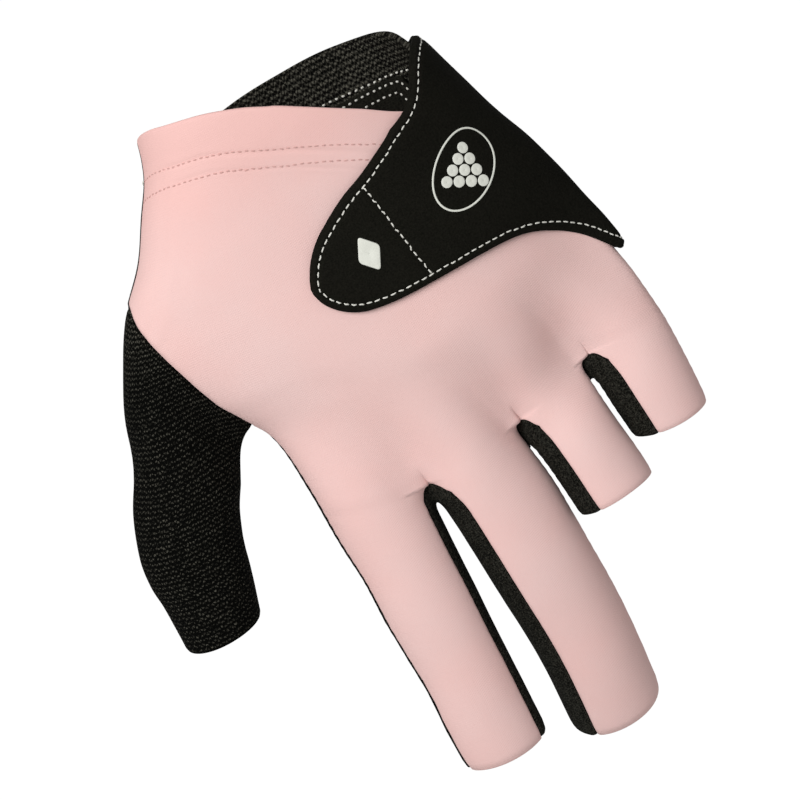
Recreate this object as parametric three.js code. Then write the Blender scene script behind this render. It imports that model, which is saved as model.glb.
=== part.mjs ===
// An open-finger billiard glove for the left hand, in the shape it has when it is worn.
// X runs from the thumb side to the little finger, Y from the back of the hand (minus) to
// the palm (plus), and Z up the wrist. The origin is the middle of the cuff's mouth, where
// the hand goes in, and the fingers hang down. Lengths are in millimetres, angles in degrees.
// Angles round the hand or a finger: 0 is the little finger's side, 90 the back, 180 the
// thumb's side and -90 the palm.
import * as THREE from 'three';

// Hand form
const palmLength = 93; // cuff level to the web between index and middle finger
const palmWidth = 85.7; // across the knuckles
const palmDepth = 29; // back to palm, across the knuckles
const palmShift = 6.0; // the knuckles' middle lies this far to the little finger's side
const fingerLength = 70.5; // the middle finger's sleeve, from its web to its open end
const knuckleBlend = 28; // the four fingers fade into the palm over this length
const cuffDip = 18; // how far the cuff's back edge dips under the strap

// Thumb
const thumbWidth = 25.2; // at its root, narrowing to the open end
const thumbDepth = 22.5;
const thumbLength = 34.5; // its root to its open end, straight down
const thumbSpread = 69; // the open end's middle, sideways from the cuff's middle

// Cloth
const backWall = 1.2;
const meshWall = 1.4;
const fourchetteWall = 1.0;
const hemWall = 1.8; // the back's cuff edge is folded in and stitched down
const hemLength = 10;
const seamGap = 0.36;

// Strap and the patch that holds its root inside the cuff
const strapWall = 2.0;
const strapClearance = 0.5;
const patchWall = 0.9;
const patchClearance = 0.4;

// Webs between the fingers
const webGap = 0.7; // between the sides of two fingers at their web
const webDrop = 4.6; // the web's middle hangs this far below its two ends
const webAngle = 28; // back and palm panel come this near to the finger's side at a web
const notchRound = 9; // length over which a panel's notch opens to its full width
const fullTurn = 360; // degrees
const jointPlace = 0.4; // the swelling at a finger's joint: its middle and its spread, as
const jointSpread = 0.135; // shares of the sleeve's length
const hemFade = 3; // length over which the folded hem thins to the single cloth
const palmSideAngle = 42; // the palm panel ends this far round from the finger's side
const radialSeam = 170; // angles of the two seams that join back and palm
const ulnarSeam = -7;

// Each finger from the thumb side. root is its width as a share of palmWidth, tip its open
// end's width and round its depth as shares of that width, length a share of fingerLength.
// drift and arch move the open end and the middle sideways, as shares of the root's width.
// splay slants its axis above the root. level is its root's level as a share of palmLength,
// lift its height over the palm's middle as a share of palmDepth. lean and curl are its tilts
// towards the palm at root and end.
// The back panel covers it from backFrom to backTo. joint is the swelling at its joint.
const fingers = [
  { name: 'index', root: 0.25, tip: 0.86, round: 0.9, length: 0.897, drift: -0.033, arch: 0.01,
    level: 1.0, lift: 0.04, lean: 2, curl: 10, backFrom: 168, backTo: 32, joint: 0.02, splay: 0,
    rows: 10 },
  { name: 'middle', root: 0.272, tip: 0.905, round: 0.88, length: 1.0, drift: 0.07, arch: 0.07,
    level: 1.0, lift: 0.08, lean: 2, curl: 25, backFrom: 131, backTo: 9, joint: 0.03, splay: 0,
    rows: 11 },
  { name: 'ring', root: 0.224, tip: 0.955, round: 0.92, length: 0.37, drift: 0.13, arch: 0.01,
    level: 0.97, lift: 0.06, lean: 1, curl: -1, backFrom: 125, backTo: 9, joint: 0, splay: 0.03,
    rows: 5 },
  { name: 'little', root: 0.2295, tip: 0.88, round: 0.9, length: 0.313, drift: 0.05, arch: 0.01,
    level: 0.92, lift: 0.0, lean: 1, curl: 3, backFrom: 121, backTo: -7, joint: 0, splay: 0.13,
    rows: 5 },
];

// Levels of the webs as shares of palmLength: the index finger's free side, between the
// fingers, and the little finger's free side.
const backWebs = [0.955, 0.99, 0.965, 0.905, 0.915];
const palmWebs = [0.955, 1.01, 0.985, 0.93, 0.915];

// The fingers' borders on the hand's own section, as angles from the thumb side.
const backBorders = [119, 87, 60];
const palmBorders = [-119, -87, -60];

// Sections of the hand down from the cuff, as shares of palmLength. radial and ulnar are the
// two sides as shares of palmWidth, back and palm the two depths as shares of palmDepth.
const sections = [
  { down: -0.12, radial: -0.371, ulnar: 0.303, back: 0.67, palm: 0.67 },
  { down: -0.05, radial: -0.39, ulnar: 0.315, back: 0.69, palm: 0.69 },
  { down: 0.0, radial: -0.406, ulnar: 0.329, back: 0.69, palm: 0.69 },
  { down: 0.055, radial: -0.432, ulnar: 0.344, back: 0.68, palm: 0.69 },
  { down: 0.118, radial: -0.477, ulnar: 0.371, back: 0.66, palm: 0.68 },
  { down: 0.206, radial: -0.541, ulnar: 0.406, back: 0.63, palm: 0.67 },
  { down: 0.286, radial: -0.613, ulnar: 0.432, back: 0.6, palm: 0.68 },
  { down: 0.36, radial: -0.653, ulnar: 0.455, back: 0.58, palm: 0.7 },
  { down: 0.44, radial: -0.665, ulnar: 0.48, back: 0.57, palm: 0.71 },
  { down: 0.52, radial: -0.636, ulnar: 0.505, back: 0.56, palm: 0.69 },
  { down: 0.59, radial: -0.578, ulnar: 0.523, back: 0.55, palm: 0.66 },
  { down: 0.645, radial: -0.513, ulnar: 0.537, back: 0.54, palm: 0.62 },
  { down: 0.69, radial: -0.47, ulnar: 0.544, back: 0.53, palm: 0.59 },
  { down: 0.73, radial: -0.448, ulnar: 0.55, back: 0.52, palm: 0.57 },
  { down: 0.8, radial: -0.434, ulnar: 0.562, back: 0.5, palm: 0.53 },
  { down: 0.9, radial: -0.43, ulnar: 0.57, back: 0.47, palm: 0.49 },
  { down: 1.1, radial: -0.43, ulnar: 0.571, back: 0.45, palm: 0.46 },
];
const boxiness = 2.25; // 2 makes each section an ellipse, more makes it squarer

// The cuff's edge round the wrist, by angle: how high it stands as a share of cuffDip.
const cuffEdge = [
  { angle: -200, rise: 0.42 },
  { angle: -190, rise: 0.37 },
  { angle: -180, rise: 0.29 },
  { angle: -160, rise: 0.15 },
  { angle: -140, rise: 0.04 },
  { angle: -119, rise: -0.02 },
  { angle: -96, rise: -0.02 },
  { angle: -72, rise: -0.03 },
  { angle: -47, rise: -0.09 },
  { angle: -28, rise: -0.14 },
  { angle: -15, rise: -0.22 },
  { angle: -7, rise: -0.36 },
  { angle: 0, rise: -0.52 },
  { angle: 18, rise: -0.7 },
  { angle: 33, rise: -0.87 },
  { angle: 44, rise: -0.92 },
  { angle: 52, rise: -0.8 },
  { angle: 64, rise: -0.5 },
  { angle: 82, rise: -0.13 },
  { angle: 101, rise: 0.2 },
  { angle: 120, rise: 0.4 },
  { angle: 145, rise: 0.45 },
  { angle: 160, rise: 0.42 },
  { angle: 170, rise: 0.37 },
  { angle: 180, rise: 0.3 },
];

// The opening in the side seam that the thumb is sewn to: its two ends as shares of
// palmLength, and how far round it reaches into the back and into the palm.
const thumbOpening = { top: 0.286, crotch: 0.685, back: 20, palm: 38 };
const thumbRoot = { side: 0.87, down: 0.735 }; // shares of thumbSpread and of palmLength
const thumbTilt = 8; // the thumb's tilt towards the palm
const thumbLeave = [57, 12]; // its cloth's slope out of the seam, at the top and at the crotch

// The thumb's rings: down and side say how far the ring's middle has got on its way from
// root to open end, palm how far it stands towards the palm as a share of thumbDepth,
// width and depth are shares of the root's, and lean is its tilt outwards.
const thumbRings = [
  { down: 0.0, side: 0.0, palm: 0.14, width: 1.0, depth: 1.0, lean: 30 },
  { down: 0.17, side: 0.39, palm: 0.17, width: 0.985, depth: 0.97, lean: 25 },
  { down: 0.37, side: 0.69, palm: 0.2, width: 0.95, depth: 0.93, lean: 14 },
  { down: 0.52, side: 0.79, palm: 0.23, width: 0.89, depth: 0.9, lean: 7 },
  { down: 0.66, side: 0.83, palm: 0.26, width: 0.825, depth: 0.87, lean: 5 },
  { down: 0.85, side: 0.92, palm: 0.3, width: 0.755, depth: 0.83, lean: 5 },
  { down: 1.0, side: 1.0, palm: 0.33, width: 0.7, depth: 0.8, lean: 3 },
];

// The strap from its tab to its root on the palm: around is the place round the hand in
// columns of cloth, top and foot are the levels of its two edges as shares of palmLength.
const strapStations = [
  { around: 10.15, top: 0.42, foot: 0.435 },
  { around: 10.3, top: 0.4, foot: 0.472 },
  { around: 10.6, top: 0.362, foot: 0.512 },
  { around: 11.1, top: 0.32, foot: 0.536 },
  { around: 11.8, top: 0.283, foot: 0.547 },
  { around: 12.8, top: 0.26, foot: 0.551 },
  { around: 14.2, top: 0.238, foot: 0.553 },
  { around: 15.8, top: 0.209, foot: 0.555 },
  { around: 17.4, top: 0.184, foot: 0.556 },
  { around: 18.6, top: 0.163, foot: 0.56 },
  { around: 19.4, top: 0.138, foot: 0.575 },
  { around: 20.2, top: 0.103, foot: 0.61 },
  { around: 21.0, top: 0.08, foot: 0.655 },
  { around: 21.8, top: 0.066, foot: 0.7 },
  { around: 22.6, top: 0.062, foot: 0.728 },
  { around: 23.6, top: 0.064, foot: 0.738 },
  { around: 24.8, top: 0.075, foot: 0.735 },
  { around: 26.2, top: 0.09, foot: 0.715 },
  { around: 28.0, top: 0.11, foot: 0.68 },
  { around: 30.0, top: 0.13, foot: 0.63 },
];
const patch = { from: 27.2, to: 35.4, top: 0.12, foot: 0.42, corner: 0.3 };

// How finely the cloth is drawn
const fingerColumns = 6; // across a finger on the back and on the palm
const sideColumns = 3; // across a fourchette
const rowsAboveThumb = 5;
const rowsAtThumb = 8;
const rowsBelowThumb = 7;
const thumbBlendRows = 5;
const strapColumns = 30;
const strapRows = 8;
const patchColumns = 7;
const patchRows = 6;

const colours = {
  blush: 0xe9c0bb,
  meshBlack: 0x1d1c1a,
  clothBlack: 0x12110f,
  strapBlack: 0x171613,
};

const rad = THREE.MathUtils.degToRad;
const mix = THREE.MathUtils.lerp;
const clamp = THREE.MathUtils.clamp;
const ease = (t) => clamp(t, 0, 1) ** 2 * (3 - 2 * clamp(t, 0, 1));
const squared = (x) => Math.sign(x) * Math.abs(x) ** (2 / boxiness);
const between = (a, b, t) => a.clone().lerp(b, t);

const columns = fingerColumns * fingers.length;
const palmRows = rowsAboveThumb + rowsAtThumb + rowsBelowThumb;

// The fingers stand side by side across the knuckles.
let fingerEdge = palmShift - palmWidth / 2;
for (const finger of fingers) {
  finger.width = finger.root * (palmWidth - webGap * (fingers.length - 1)) / 0.9755;
  finger.middle = fingerEdge + finger.width / 2;
  finger.long = finger.length * fingerLength;
  fingerEdge += finger.width + webGap;
}

// A table's row at any value of its key column, smooth through the rows.
function rowAt(table, key, value) {
  const last = table.length - 1;
  let i = 0;
  while (i < last - 1 && value > table[i + 1][key]) i += 1;
  const step = table[i + 1][key] - table[i][key];
  const t = clamp((value - table[i][key]) / step, 0, 1);
  const slope = (from, to, column) => {
    const [a, b] = [table[Math.max(from, 0)], table[Math.min(to, last)]];
    return (b[column] - a[column]) / (b[key] - a[key]);
  };
  const row = {};
  for (const column of Object.keys(table[i])) {
    const start = table[i][column];
    const end = table[i + 1][column];
    row[column] = mix(start, end, t * t * (3 - 2 * t))
      + step * slope(i - 1, i + 1, column) * t * (1 - t) ** 2
      - step * slope(i, i + 2, column) * t * t * (1 - t);
  }
  return row;
}

// The hand's own section, without fingers and thumb.
function sectionPoint(angle, z) {
  const row = rowAt(sections, 'down', -z / palmLength);
  const middle = (palmWidth * (row.radial + row.ulnar)) / 2;
  const half = (palmWidth * (row.ulnar - row.radial)) / 2;
  const height = squared(Math.sin(rad(angle)));
  const depth = palmDepth * (height > 0 ? row.back : row.palm);
  return new THREE.Vector3(middle + half * squared(Math.cos(rad(angle))), -depth * height, z);
}

// A finger's tube, reach millimetres below its root.
function tubePoint(finger, angle, reach) {
  const t = clamp(reach / finger.long, 0, 1);
  const [first, last] = [rad(finger.lean), rad(finger.curl)];
  const tilt = mix(first, last, t);
  const bend = last - first;
  const past = Math.min(reach, 0);
  const y = (finger.long * (Math.cos(first) - Math.cos(tilt))) / bend + past * Math.sin(first);
  const z = (finger.long * (Math.sin(tilt) - Math.sin(first))) / bend + past * Math.cos(first);
  const swell = 1 + finger.joint * Math.exp(-(((t - jointPlace) / jointSpread) ** 2));
  const half = (finger.width * mix(1, finger.tip, t) * swell) / 2;
  const side = finger.drift * t + finger.arch * Math.sin(Math.PI * t);
  const up = half * finger.round * Math.sin(rad(angle));
  return new THREE.Vector3(
    finger.middle + finger.width * side + past * finger.splay + half * Math.cos(rad(angle)),
    y - finger.lift * palmDepth - up * Math.cos(tilt),
    -z - finger.level * palmLength - up * Math.sin(tilt),
  );
}

const reachAt = (finger, z) => (-z - finger.level * palmLength) / Math.cos(rad(finger.lean));

// One face of the hand, back or palm: what the two panels differ in.
const backFace = {
  borders: backBorders,
  webs: backWebs,
  radial: radialSeam,
  ulnar: ulnarSeam,
  opening: -thumbOpening.back,
  web: webAngle,
  edges: fingers.map((finger) => [finger.backFrom, finger.backTo]),
};
const palmFace = {
  borders: palmBorders,
  webs: palmWebs,
  radial: radialSeam - fullTurn,
  ulnar: ulnarSeam,
  opening: thumbOpening.palm,
  web: -webAngle,
  edges: fingers.map((finger, i) => [
    i === 0 ? finger.backFrom - fullTurn : palmSideAngle - fullTurn / 2,
    i === fingers.length - 1 ? finger.backTo : -palmSideAngle,
  ]),
};

// The angle on the hand's section of a place across a face, 0 to the number of columns.
function faceAngle(face, across, z) {
  const span = thumbOpening.crotch - thumbOpening.top;
  const t = clamp((-z / palmLength - thumbOpening.top) / span, 0, 1);
  const open = face.opening * Math.sin(Math.PI * t ** 0.9) ** 0.7;
  const borders = [face.radial + open, ...face.borders, face.ulnar];
  const i = Math.min(Math.floor(across / fingerColumns), fingers.length - 1);
  return mix(borders[i], borders[i + 1], across / fingerColumns - i);
}

// The level of the webs at a place across a face, lower between two webs.
function webLevel(face, across) {
  const i = Math.min(Math.floor(across / fingerColumns), fingers.length - 1);
  const t = across / fingerColumns - i;
  return -palmLength * mix(face.webs[i], face.webs[i + 1], t);
}

// The angles on a finger's tube where a face begins and ends, opening below the web.
function tubeEdges(face, i, below) {
  const open = 1 - (1 - clamp(below / notchRound, 0, 1)) ** 2;
  const side = (Math.sign(face.web) * fullTurn) / 2;
  const first = i === 0 ? face.edges[i][0] : mix(side - face.web, face.edges[i][0], open);
  const free = i === fingers.length - 1;
  return [first, free ? face.edges[i][1] : mix(face.web, face.edges[i][1], open)];
}

// A point of a face above the webs: the hand's section fading into the fingers' tubes.
function facePoint(face, across, z) {
  const hand = sectionPoint(faceAngle(face, across, z), z);
  const web = webLevel(face, across);
  const fade = ease((web + knuckleBlend - z) / knuckleBlend);
  if (fade === 0) return hand;
  const tubes = new THREE.Vector3();
  const place = across / fingerColumns;
  const shared = Number.isInteger(place) && place > 0 && place < fingers.length;
  const owners = shared ? [place - 1, place] : [Math.min(Math.floor(place), fingers.length - 1)];
  for (const i of owners) {
    const [first, last] = tubeEdges(face, i, 0);
    const angle = mix(first, last, place - i);
    tubes.addScaledVector(tubePoint(fingers[i], angle, reachAt(fingers[i], z)), 1 / owners.length);
  }
  return hand.lerp(tubes, fade);
}

// How far down a finger one of its rows lies, close together near the web.
function rowReach(finger, from, row) {
  return mix(from, finger.long, (row / finger.rows) ** 1.35);
}

// Quads of a grid of points, facing out when turned says which way round.
function gridQuads(grid, turned) {
  const quads = [];
  for (let r = 0; r + 1 < grid.length; r += 1) {
    for (let c = 0; c + 1 < grid[r].length; c += 1) {
      const quad = [grid[r][c], grid[r + 1][c], grid[r + 1][c + 1], grid[r][c + 1]];
      quads.push(turned ? quad.reverse() : quad);
    }
  }
  return quads;
}

// Levels of the rows from the cuff's edge to the webs.
function levelAt(face, across, row) {
  const top = -thumbOpening.top * palmLength;
  const crotch = -thumbOpening.crotch * palmLength;
  if (row <= rowsAboveThumb) {
    const angle = faceAngle(face, across, 0);
    const cuff = rowAt(cuffEdge, 'angle', angle).rise * cuffDip;
    return mix(cuff, top, row / rowsAboveThumb);
  }
  const past = row - rowsAboveThumb;
  if (past <= rowsAtThumb) return mix(top, crotch, past / rowsAtThumb);
  return mix(crotch, webLevel(face, across), (past - rowsAtThumb) / rowsBelowThumb);
}

// A whole panel: the hand down to the webs, then each finger.
function panelGrids(face) {
  const hand = [];
  for (let row = 0; row <= palmRows; row += 1) {
    const points = [];
    for (let c = 0; c <= columns; c += 1) points.push(facePoint(face, c, levelAt(face, c, row)));
    hand.push(points);
  }
  const sleeves = fingers.map((finger, i) => {
    const first = i * fingerColumns;
    const grid = [hand[palmRows].slice(first, first + fingerColumns + 1)];
    for (let row = 1; row <= finger.rows; row += 1) {
      const points = [];
      for (let c = 0; c <= fingerColumns; c += 1) {
        const from = reachAt(finger, webLevel(face, first + c));
        const reach = rowReach(finger, from, row);
        const [start, end] = tubeEdges(face, i, reach - from);
        points.push(tubePoint(finger, mix(start, end, c / fingerColumns), reach));
      }
      grid.push(points);
    }
    return grid;
  });
  return { hand, sleeves };
}

const back = panelGrids(backFace);
const palm = panelGrids(palmFace);
const backQuads = [back.hand, ...back.sleeves].flatMap((grid) => gridQuads(grid, false));
const palmQuads = [palm.hand, ...palm.sleeves].flatMap((grid) => gridQuads(grid, true));

// A fourchette: down one finger's side, over the web and down the next finger's side.
function fourchetteQuads(i) {
  const [near, far] = [fingers[i], fingers[i + 1]];
  const border = (i + 1) * fingerColumns;
  const [backWeb, palmWeb] = [webLevel(backFace, border), webLevel(palmFace, border)];
  const grid = [];
  const webAt = (t) => mix(backWeb, palmWeb, t) - webDrop * Math.sin(Math.PI * t);
  const nearSide = (row, t) => {
    const from = reachAt(near, webAt(t));
    const reach = rowReach(near, from, row);
    const below = (face, level) => {
      const start = reachAt(near, level);
      return tubeEdges(face, i, rowReach(near, start, row) - start)[1];
    };
    return tubePoint(near, mix(below(backFace, backWeb), below(palmFace, palmWeb), t), reach);
  };
  const farSide = (row, t) => {
    const from = reachAt(far, webAt(t));
    const reach = rowReach(far, from, row);
    const below = (face, level) => {
      const start = reachAt(far, level);
      return tubeEdges(face, i + 1, rowReach(far, start, row) - start)[0];
    };
    const palmEdge = below(palmFace, palmWeb) + fullTurn;
    return tubePoint(far, mix(below(backFace, backWeb), palmEdge, t), reach);
  };
  const across = [...Array(sideColumns + 1).keys()].map((c) => c / sideColumns);
  for (let row = near.rows; row > 0; row -= 1) grid.push(across.map((t) => nearSide(row, t)));
  grid.push(across.map((t) => between(nearSide(0, t), farSide(0, t), 0.5)));
  for (let row = 1; row <= far.rows; row += 1) grid.push(across.map((t) => farSide(row, t)));
  return gridQuads(grid, true);
}

// The thumb's sleeve: from the opening in the side seam to its own rings.
function thumbQuads() {
  const rows = [...Array(rowsAtThumb + 1).keys()].map((r) => r + rowsAboveThumb);
  const root = rows.map((r) => back.hand[r][0]);
  for (const r of rows.slice(1, -1).reverse()) root.push(palm.hand[r][0]);
  const ring = (row) => root.map((_, j) => {
    const lean = rad(row.lean);
    const middle = new THREE.Vector3(
      -thumbSpread * mix(thumbRoot.side, 1, row.side),
      thumbDepth * row.palm,
      -palmLength * thumbRoot.down - thumbLength * row.down,
    );
    const ahead = new THREE.Vector3(-Math.sin(lean), Math.sin(rad(thumbTilt)), -Math.cos(lean));
    const outward = new THREE.Vector3(Math.cos(lean), 0, -Math.sin(lean));
    const rear = ahead.normalize().clone().cross(outward).normalize();
    const angle = Math.PI * (1 - (2 * j) / root.length);
    return middle
      .addScaledVector(outward, (thumbWidth / 2) * row.width * Math.cos(angle))
      .addScaledVector(rear, -(thumbDepth / 2) * row.depth * Math.sin(angle) * Math.sign(rear.y));
  });
  const first = ring(thumbRings[0]);
  const lean = rad(thumbRings[0].lean);
  const arrive = new THREE.Vector3(Math.sin(lean), 0, Math.cos(lean));
  const leaveAt = (j) => {
    const slope = rad(mix(...thumbLeave, (1 - Math.cos((2 * Math.PI * j) / root.length)) / 2));
    return new THREE.Vector3(-Math.cos(slope), 0, -Math.sin(slope));
  };
  const grid = [];
  for (let b = 0; b < thumbBlendRows; b += 1) {
    const t = b / thumbBlendRows;
    grid.push(root.map((start, j) => {
      const reach = start.distanceTo(first[j]) / 3;
      const out = start.clone().addScaledVector(leaveAt(j), reach);
      const guide = first[j].clone().addScaledVector(arrive, reach);
      const early = between(between(start, out, t), between(out, guide, t), t);
      const late = between(between(out, guide, t), between(guide, first[j], t), t);
      return between(early, late, t);
    }));
  }
  for (const row of thumbRings) grid.push(ring(row));
  return gridQuads(grid.map((points) => [...points, points[0]]), false);
}

// Normals shared by every panel, so that two panels keep their seam's gap through the cloth.
const keyOf = (p) => [p.x, p.y, p.z].map((v) => v.toFixed(3)).join(' ');
const normals = new Map();

function faceNormal([a, b, c, d]) {
  return c.clone().sub(a).cross(d.clone().sub(b));
}

function gatherNormals(quads) {
  for (const quad of quads) {
    const normal = faceNormal(quad);
    for (const p of quad) {
      const key = keyOf(p);
      if (!normals.has(key)) normals.set(key, new THREE.Vector3());
      normals.get(key).add(normal);
    }
  }
}

// A closed sheet of cloth: the quads outside, the same moved in by the wall, and a rim.
function sheet(quads, wallAt, gap) {
  const edges = new Map();
  const points = new Map();
  for (const quad of quads) {
    quad.forEach((p, i) => {
      const [from, to] = [keyOf(p), keyOf(quad[(i + 1) % 4])];
      if (!points.has(from)) points.set(from, p);
      if (edges.has(`${to}|${from}`)) edges.delete(`${to}|${from}`);
      else edges.set(`${from}|${to}`, [from, to]);
    });
  }
  const retreat = new Map();
  for (const [from, to] of edges.values()) {
    for (const key of [from, to]) {
      const along = points.get(to).clone().sub(points.get(from)).normalize();
      const inward = normals.get(key).clone().normalize().cross(along).normalize();
      if (!retreat.has(key)) retreat.set(key, []);
      retreat.get(key).push(inward);
    }
  }
  const outer = new Map();
  const inner = new Map();
  for (const [key, p] of points) {
    const moved = p.clone();
    if (retreat.has(key)) {
      const sum = new THREE.Vector3();
      for (const inward of retreat.get(key)) sum.add(inward);
      const spread = Math.max(sum.length() / retreat.get(key).length, 0.45);
      moved.addScaledVector(sum.normalize(), gap / 2 / spread);
    }
    outer.set(key, moved);
    inner.set(key, moved.clone().addScaledVector(normals.get(key).clone().normalize(), -wallAt(p)));
  }
  const corners = [];
  const add = (a, b, c, d) => corners.push(a, b, c, a, c, d);
  const addShort = (a, b, c, d) => {
    if (a.distanceTo(c) < b.distanceTo(d) - 0.01) add(a, b, c, d);
    else add(b, c, d, a);
  };
  for (const quad of quads) {
    const [a, b, c, d] = quad.map(keyOf);
    addShort(outer.get(a), outer.get(b), outer.get(c), outer.get(d));
    addShort(inner.get(d), inner.get(c), inner.get(b), inner.get(a));
  }
  // Both sides of a seam split their rim the same way, so that a twisted rim keeps the gap.
  for (const [from, to] of edges.values()) {
    const ring = [outer.get(to), outer.get(from), inner.get(from), inner.get(to)];
    if (from < to) ring.push(ring.shift());
    add(...ring);
  }
  return new THREE.BufferGeometry().setFromPoints(corners);
}

// Quads of a layer that lies on the hand's section, out by its distance.
function layerGrid(columnCount, rowCount, placeAt) {
  const grid = [];
  for (let r = 0; r <= rowCount; r += 1) {
    const points = [];
    for (let c = 0; c <= columnCount; c += 1) {
      const { around, z, out } = placeAt(c / columnCount, r / rowCount);
      const spot = (a, level) => (a <= columns
        ? sectionPoint(faceAngle(backFace, a, -palmLength), level)
        : sectionPoint(faceAngle(palmFace, 2 * columns - a, -palmLength), level));
      const alongRow = spot(around + 0.2, z).sub(spot(around - 0.2, z));
      const down = spot(around, z - 0.5).sub(spot(around, z + 0.5));
      const normal = down.cross(alongRow).normalize();
      points.push(spot(around, z).addScaledVector(normal, out));
    }
    grid.push(points);
  }
  return grid;
}

function strapQuads() {
  const stations = strapStations.map((row, at) => ({ at, ...row }));
  const grid = layerGrid(strapColumns, strapRows, (s, t) => {
    const row = rowAt(stations, 'at', s * (stations.length - 1));
    const z = -palmLength * mix(row.top, row.foot, t);
    return { around: row.around, z, out: strapClearance + strapWall };
  });
  return gridQuads(grid, false);
}

function patchQuads() {
  const grid = layerGrid(patchColumns, patchRows, (s, t) => {
    const across = 2 * s - 1;
    const bow = (1 - Math.sqrt(1 - patch.corner * across ** 4)) * 0.5;
    const z = -palmLength * mix(patch.top, patch.foot, mix(t, 0.5, bow));
    return { around: mix(patch.from, patch.to, s), z, out: -meshWall - patchClearance };
  });
  return gridQuads(grid, false);
}

const cloth = {
  back_panel: { quads: backQuads, colour: colours.blush },
  palm_panel: { quads: palmQuads, wall: meshWall, colour: colours.meshBlack },
  thumb_sleeve: { quads: thumbQuads(), wall: meshWall, colour: colours.meshBlack },
  fourchette_index_middle: {
    quads: fourchetteQuads(0), wall: fourchetteWall, colour: colours.clothBlack },
  fourchette_middle_ring: {
    quads: fourchetteQuads(1), wall: fourchetteWall, colour: colours.clothBlack },
  fourchette_ring_little: {
    quads: fourchetteQuads(2), wall: fourchetteWall, colour: colours.clothBlack },
};
for (const piece of Object.values(cloth)) gatherNormals(piece.quads);

const layers = {
  wrist_strap: { quads: strapQuads(), wall: strapWall, colour: colours.strapBlack, rough: 0.7 },
  cuff_patch: { quads: patchQuads(), wall: patchWall, colour: colours.clothBlack },
};
for (const piece of Object.values(layers)) gatherNormals(piece.quads);

// The back panel is thicker at its cuff, where the edge is folded in.
function backWallAt(p) {
  const angle = THREE.MathUtils.radToDeg(Math.atan2(-p.y, p.x - palmShift / 2));
  const cuff = rowAt(cuffEdge, 'angle', angle).rise * cuffDip;
  return mix(hemWall, backWall, ease((cuff - p.z - hemLength) / hemFade));
}

const glove = new THREE.Group();
glove.name = 'billiard_glove';
for (const [name, piece] of Object.entries({ ...cloth, ...layers })) {
  const gap = name in layers ? 0 : seamGap;
  const geometry = sheet(piece.quads, piece.wall ? () => piece.wall : backWallAt, gap);
  geometry.computeVertexNormals();
  const material = new THREE.MeshStandardMaterial({
    color: piece.colour,
    roughness: piece.rough ?? 0.9,
  });
  const mesh = new THREE.Mesh(geometry, material);
  mesh.name = name;
  glove.add(mesh);
}

export default glove;
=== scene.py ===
# An open-finger billiard glove for the left hand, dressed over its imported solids.
# X runs from the thumb side to the little finger, Y from the back of the hand to the palm
# and Z up the wrist. Shapes are worked out in millimetres and written in metres.
# Angles round the hand or a finger: 0 is the little finger's side, 90 the back, 180 the
# thumb's side and -90 the palm. A place across the hand runs from 0 to 4, one for each finger.
import math

import bpy
import numpy as np
from mathutils import Matrix, Vector, noise
from mathutils.bvhtree import BVHTree
from mathutils.kdtree import KDTree


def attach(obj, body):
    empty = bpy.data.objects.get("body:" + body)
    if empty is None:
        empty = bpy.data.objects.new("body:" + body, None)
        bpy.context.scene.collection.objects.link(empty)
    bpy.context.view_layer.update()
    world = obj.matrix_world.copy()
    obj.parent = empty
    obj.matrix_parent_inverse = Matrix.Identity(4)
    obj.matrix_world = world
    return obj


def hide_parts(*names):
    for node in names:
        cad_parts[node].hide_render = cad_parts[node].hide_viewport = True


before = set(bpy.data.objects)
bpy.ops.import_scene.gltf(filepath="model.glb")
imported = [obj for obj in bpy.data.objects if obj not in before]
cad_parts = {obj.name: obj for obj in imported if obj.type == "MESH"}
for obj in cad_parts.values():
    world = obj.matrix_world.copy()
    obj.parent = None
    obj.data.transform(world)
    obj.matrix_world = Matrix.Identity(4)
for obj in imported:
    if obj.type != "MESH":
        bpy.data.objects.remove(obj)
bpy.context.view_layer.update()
mm = 0.001
print("frame:", ", ".join(sorted(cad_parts)))

# The picture's plane, and the last nudges of the worn form in it. The picture is 800 wide
# and 800 high, counted right and down.
view = {
    "target": np.array([-10.3, 0.0, -74.6]),
    "distance": 1000.0,
    "lens": 204.5,
    "sensor": 36.0,
    "pitch": math.radians(12.0),
    "roll": math.radians(29.0),
    "reach": 44.0,
}
view["pixel"] = view["sensor"] / view["lens"] * view["distance"] / 800
view["ahead"] = np.array([0, math.cos(view["pitch"]), -math.sin(view["pitch"])])
level = np.array([0, math.sin(view["pitch"]), math.cos(view["pitch"])])
view["right"] = np.array([1, 0, 0]) * math.cos(view["roll"]) - level * math.sin(view["roll"])
view["up"] = np.array([1, 0, 0]) * math.sin(view["roll"]) + level * math.cos(view["roll"])
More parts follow.
